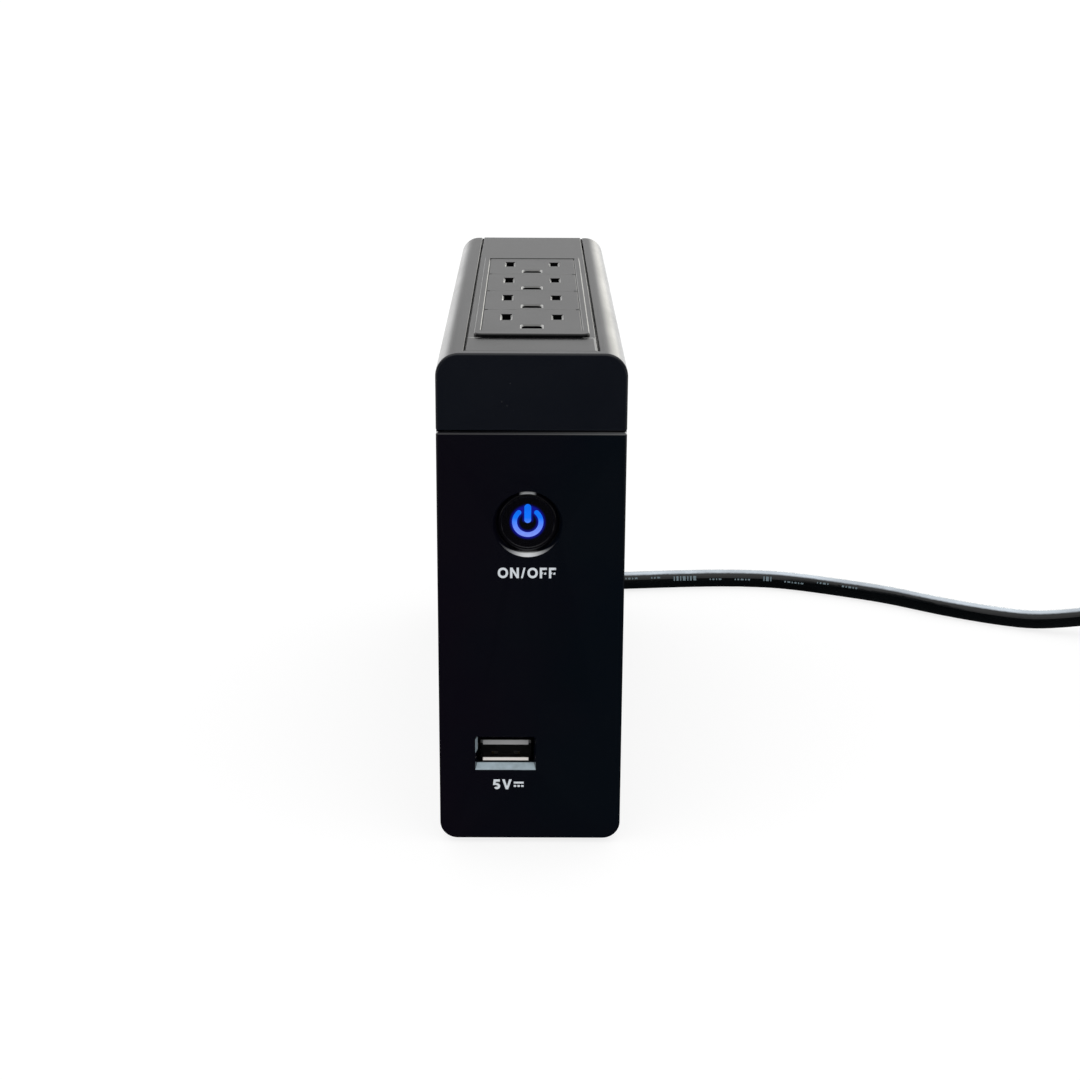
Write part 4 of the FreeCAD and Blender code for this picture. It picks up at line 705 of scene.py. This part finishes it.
def letter_v(height, stroke):
    width = height * 0.92
    middle, arm = width / 2, stroke * 1.08
    return width, [[[
        (middle - stroke * 0.5, 0), (middle + stroke * 0.5, 0), (width, height),
        (width - arm, height), (middle, stroke * 1.25), (arm, height), (0, height)]]]


def direct_current(height, stroke):
    """A line over three dashes."""
    width = height * 0.95

    def dash(left, right, low):
        high = low + stroke * 0.8
        return [[(left, low), (right, low), (right, high), (left, high)]]

    starts = [k * width * 0.375 for k in range(3)]
    dashes = [dash(left, left + width * 0.25, height * 0.24) for left in starts]
    return width, [dash(0, width, height * 0.58)] + dashes


GLYPHS = {"O": letter_o, "N": letter_n, "F": letter_f, "/": slash, "5": digit_5,
          "V": letter_v, "=": direct_current}


def label(name, text, center_x, center_z, height, width, stroke):
    """A row of glyphs on the front panel, stretched in X to a width."""
    cells = [GLYPHS[character](height, stroke) for character in text]
    gap = height * 0.19
    stretch = width / (sum(cell[0] for cell in cells) + gap * (len(cells) - 1))
    bm = bmesh.new()
    left = center_x - width / 2
    for cell_width, shapes in cells:
        for rings in shapes:
            prism(bm, [[(left + x * stretch, center_z - height / 2 + z) for x, z in ring]
                       for ring in rings])
        left += (cell_width + gap) * stretch
    bmesh.ops.triangulate(bm, faces=bm.faces[:])
    add_print(name, bm, "print_white")


label("label_on_off", "ON/OFF", center_x=-0.95, center_z=70.62, height=2.62, width=13.8,
      stroke=0.56)
label("label_five_volts", "5V=", center_x=-5.35, center_z=15.85, height=2.64, width=7.5,
      stroke=0.62)

# ---------------------------------------------------------------- marks along the cord (mm)
CORD_RADIUS = 2.95
LYING = CORD_RADIUS + 0.03  # height of the cord's middle on the floor

# Point on the cord's middle line, direction there (None: from its neighbours), and the
# lengths of the tangent arriving and leaving (None: the distance between the points)
CORD_KEYS = (
    ((-8.0, 79.0, 15.5), (0, 1, 0), None, None),
    ((-8.0, 90.0, 15.5), (0, 1, 0), None, None),
    ((-8.0, 94.6, 15.5), (0, 1, 0), 4.6, 17.0),
    ((2.6, 103.6, 11.6), (0.90, 0.22, -0.37), 15.0, 24.0),
    ((32.6, 105.4, LYING), (0.994, 0.105, 0), None, None),
    ((51.6, 107.4, LYING), None, None, None),
    ((69.0, 108.3, LYING), None, None, None),
    ((86.1, 106.4, LYING), None, None, None),
    ((105.6, 98.7, LYING), None, None, None),
    ((124.2, 88.7, LYING), (0.82, -0.57, 0), None, None),
    ((143.0, 76.0, LYING), (0.87, -0.49, 0), None, None),
    ((160.0, 67.2, LYING + 0.3), (0.9, -0.43, 0.05), None, None),
    ((205.0, 45.0, 12.0), (0, -1, 0), 52.0, None),
)


def cord_path(step):
    """Points along the middle line, by Hermite curves between the keys."""
    points = [Vector(key[0]) for key in CORD_KEYS]
    tangents = []
    for i in range(1, len(points) + 1):
        direction = CORD_KEYS[i - 1][1]
        if direction is None:
            direction = points[i] - points[i - 2]
        tangents.append(Vector(direction).normalized())
    path = [points[0]]
    for i in range(len(points) - 1):
        start, end = points[i], points[i + 1]
        span = (end - start).length
        leaving = tangents[i] * (CORD_KEYS[i][3] or span)
        arriving = tangents[i + 1] * (CORD_KEYS[i + 1][2] or span)
        count = max(3, int(round(span / step)))
        for k in range(1, count + 1):
            u = k / count
            path.append(start * (2 * u**3 - 3 * u**2 + 1) + leaving * (u**3 - 2 * u**2 + u)
                        + end * (3 * u**2 - 2 * u**3) + arriving * (u**3 - u**2))
    return path


path = cord_path(step=0.25)
reach = [0.0]  # length of cord up to each point
for start, end in zip(path, path[1:]):
    reach.append(reach[-1] + (end - start).length)


def on_cord(distance, angle, lift):
    """A point on the jacket, in metres. The angle goes up from the cord's right-hand side."""
    j = bisect_left(reach, distance)
    part = (distance - reach[j - 1]) / (reach[j] - reach[j - 1])
    middle = path[j - 1].lerp(path[j], part)
    along = (path[j + 2] - path[j - 3]).normalized()
    side = along.cross(Vector((0, 0, 1))).normalized()
    up = side.cross(along).normalized()
    outward = side * math.cos(angle) + up * math.sin(angle)
    return (middle + outward * (CORD_RADIUS + lift)) * MM


def stroke_solid(bm, start, width, low, high):
    """One stroke, bent round the jacket from the low to the high angle in degrees."""
    steps = 4
    grid = {}  # by layer (0 just under the surface, 1 just over it), end and step
    for layer, lift in enumerate((-0.03, 0.025)):
        for side, distance in enumerate((start, start + width)):
            for j in range(steps + 1):
                angle = math.radians(low + (high - low) * j / steps)
                grid[layer, side, j] = bm.verts.new(on_cord(distance, angle, lift))

    def face(*keys):
        bm.faces.new([grid[key] for key in keys])

    for j in range(steps):
        k = j + 1
        face((1, 0, j), (1, 1, j), (1, 1, k), (1, 0, k))
        face((0, 0, k), (0, 1, k), (0, 1, j), (0, 0, j))
        face((0, 0, j), (1, 0, j), (1, 0, k), (0, 0, k))
        face((1, 1, j), (0, 1, j), (0, 1, k), (1, 1, k))
    face((0, 0, 0), (0, 1, 0), (1, 1, 0), (1, 0, 0))
    face((1, 0, steps), (1, 1, steps), (0, 1, steps), (0, 0, steps))


def cord_marks():
    """Short printed strokes in groups."""
    group_sizes = (5, 4, 3, 7, 4, 5, 3, 6, 4, 5)
    widths = (0.42, 0.95, 0.42, 0.6, 1.0, 0.42, 0.75)
    angles = ((6.0, 36.0), (6.0, 16.0), (14.0, 34.0), (25.0, 36.0))
    stroke_gap, group_gap = 0.55, 4.2
    bm = bmesh.new()
    distance = 52.0
    count = 0
    for size in group_sizes:
        for k in range(size):
            width = widths[count % len(widths)]
            low, high = angles[(count * 3 + k) % len(angles)]
            stroke_solid(bm, distance, width, low, high)
            count += 1
            distance += width + stroke_gap
        distance += group_gap
    add_print("cord_marks", bm, "print_faint")


cord_marks()


# ---------------------------------------------------------------- button spring
def coil_spring():
    """The button's return spring as a coil."""
    front, back = -0.0840, -0.0783  # its ends in Y
    turns, coil_radius, wire_radius = 5.5, 0.0032, 0.00025
    steps, sides = 220, 12
    bm = bmesh.new()
    rings = []
    for k in range(steps + 1):
        u = k / steps
        turn = 2 * math.pi * turns * u
        out = Vector((math.cos(turn), 0.0, math.sin(turn)))
        along = Vector((-math.sin(turn) * coil_radius * 2 * math.pi * turns, back - front,
                        math.cos(turn) * coil_radius * 2 * math.pi * turns)).normalized()
        up = along.cross(out)
        middle = Vector((BUTTON_X, front + (back - front) * u, BUTTON_Z)) + out * coil_radius
        ring = []
        for j in range(sides):
            angle = 2 * math.pi * j / sides
            offset = (out * math.cos(angle) + up * math.sin(angle)) * wire_radius
            ring.append(bm.verts.new(middle + offset))
        rings.append(ring)
    for ring, following in zip(rings, rings[1:]):
        for j in range(sides):
            k = (j + 1) % sides
            bm.faces.new((ring[j], ring[k], following[k], following[j]))
    bm.faces.new(rings[0])
    bm.faces.new(rings[-1])
    coil = add_solid("return_coil", bm, "spring_steel")
    for face in coil.data.polygons:
        face.use_smooth = True
    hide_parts("button_spring")
    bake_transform(coil)


coil_spring()


# ---------------------------------------------------------------- floor and light
def floor_material(name):
    """Pale to the eye; in reflections dark near the product, bright behind and beside it."""
    graph = new_material(name)
    x, y, _ = graph.geometry("Position")
    behind = y.map((0.13, 0.55), to=(0.0, 1.25), smooth=True)
    beside = abs(x).map((0.10, 0.60), smooth=True)
    reflected = graph.make("Emission", 0, {
        "Strength": behind.max(beside * 0.55).max(0.02), "Color": (1.0, 1.0, 1.0)})
    tone = graph.noise(scale=3.0).map((0.3, 0.7))
    paint = graph.make("BsdfDiffuse", 0, {
        "Color": tone.mix((0.25, 0.25, 0.25), (0.262, 0.262, 0.262))})
    lift = graph.make("Emission", 0, {"Strength": 0.79})
    seen = graph.make("AddShader", 0, {0: paint, 1: lift})
    glossy_ray = graph.make("LightPath", "Is Glossy Ray")
    graph.finish(graph.make("MixShader", 0, {0: glossy_ray, 1: seen, 2: reflected}))


def make_floor():
    half = 30.0
    mesh = bpy.data.meshes.new("floor")
    corners = [(-half, -half, 0), (half, -half, 0), (half, half, 0), (-half, half, 0)]
    mesh.from_pydata(corners, [], [(0, 1, 2, 3)])
    add_object("floor", mesh, "floor_pale")


floor_material("floor_pale")
make_floor()


def make_world():
    """Even white light; reflections see a bright rear wall and ceiling, and dark elsewhere."""
    world = bpy.data.worlds.new("studio")
    scene.world = world
    graph = Graph(world, "OutputWorld", "Generated")
    x, y, z = graph.split(graph.place)
    rear = y.map((-0.25, 0.45), smooth=True)
    ceiling = z.map((0.12, 0.90), smooth=True)

    # Rear wall: brightness by height of the ray's direction, from -0.1 to 1
    levels = ((0.0, 1.0), (0.05, 0.72), (0.11, 0.40), (0.15, 0.41), (0.178, 0.56),
              (0.21, 0.77), (0.45, 0.9))
    stops = [((height + 0.1) / 1.1, (level,) * 3) for height, level in levels]
    white = (1.0, 1.0, 1.0)
    wall = graph.ramp((z + 0.1) * (1 / 1.1), [(0.0, white), *stops, (1.0, white)])

    # Extra light low on the right, weaker further out, and low on the left
    right = (x.map((0.055, 0.18), to=(0.0, 1.3), smooth=True)
             * z.map((0.30, 0.12), smooth=True))
    right = right * x.map((0.30, 0.70), to=(1.0, 0.35), smooth=True)
    left = (x.map((-0.16, -0.26), to=(0.0, 0.7), smooth=True)
            * z.map((0.30, 0.10), smooth=True))
    strength = (rear * (wall + (right + left))).max(ceiling).max(0.02)
    cream = right.math("MULTIPLY", 0.75, clamp=True).mix(white, (1.0, 0.985, 0.925))

    soft = graph.make("Background", 0, {"Color": white, "Strength": 1.0})
    glossy = graph.make("Background", 0, {"Color": cream, "Strength": strength})
    glossy_ray = graph.make("LightPath", "Is Glossy Ray")
    graph.finish(graph.make("MixShader", 0, {0: glossy_ray, 1: soft, 2: glossy}))


make_world()


# ---------------------------------------------------------------- camera
def make_camera():
    data = bpy.data.cameras.new("camera")
    data.sensor_width = 36.0
    data.sensor_fit = "HORIZONTAL"
    data.lens = 63.2666667
    data.clip_start = 0.01
    data.clip_end = 200.0
    camera = bpy.data.objects.new("camera", data)
    scene.collection.objects.link(camera)
    pitch = math.radians(17.55)  # downwards
    yaw = math.radians(-0.27)
    roll = math.radians(0.30)
    level_right = Vector((math.cos(yaw), math.sin(yaw), 0))
    level_forward = Vector((-math.sin(yaw), math.cos(yaw), 0))
    vertical = Vector((0, 0, 1))
    forward = level_forward * math.cos(pitch) - vertical * math.sin(pitch)
    pitched_up = level_forward * math.sin(pitch) + vertical * math.cos(pitch)
    right = level_right * math.cos(roll) + pitched_up * math.sin(roll)
    up = -level_right * math.sin(roll) + pitched_up * math.cos(roll)
    rotation = Matrix((right, up, -forward)).transposed()
    position = Vector((0.0001, -0.5150, 0.2137))
    camera.matrix_world = Matrix.Translation(position) @ rotation.to_4x4()
    scene.camera = camera


make_camera()
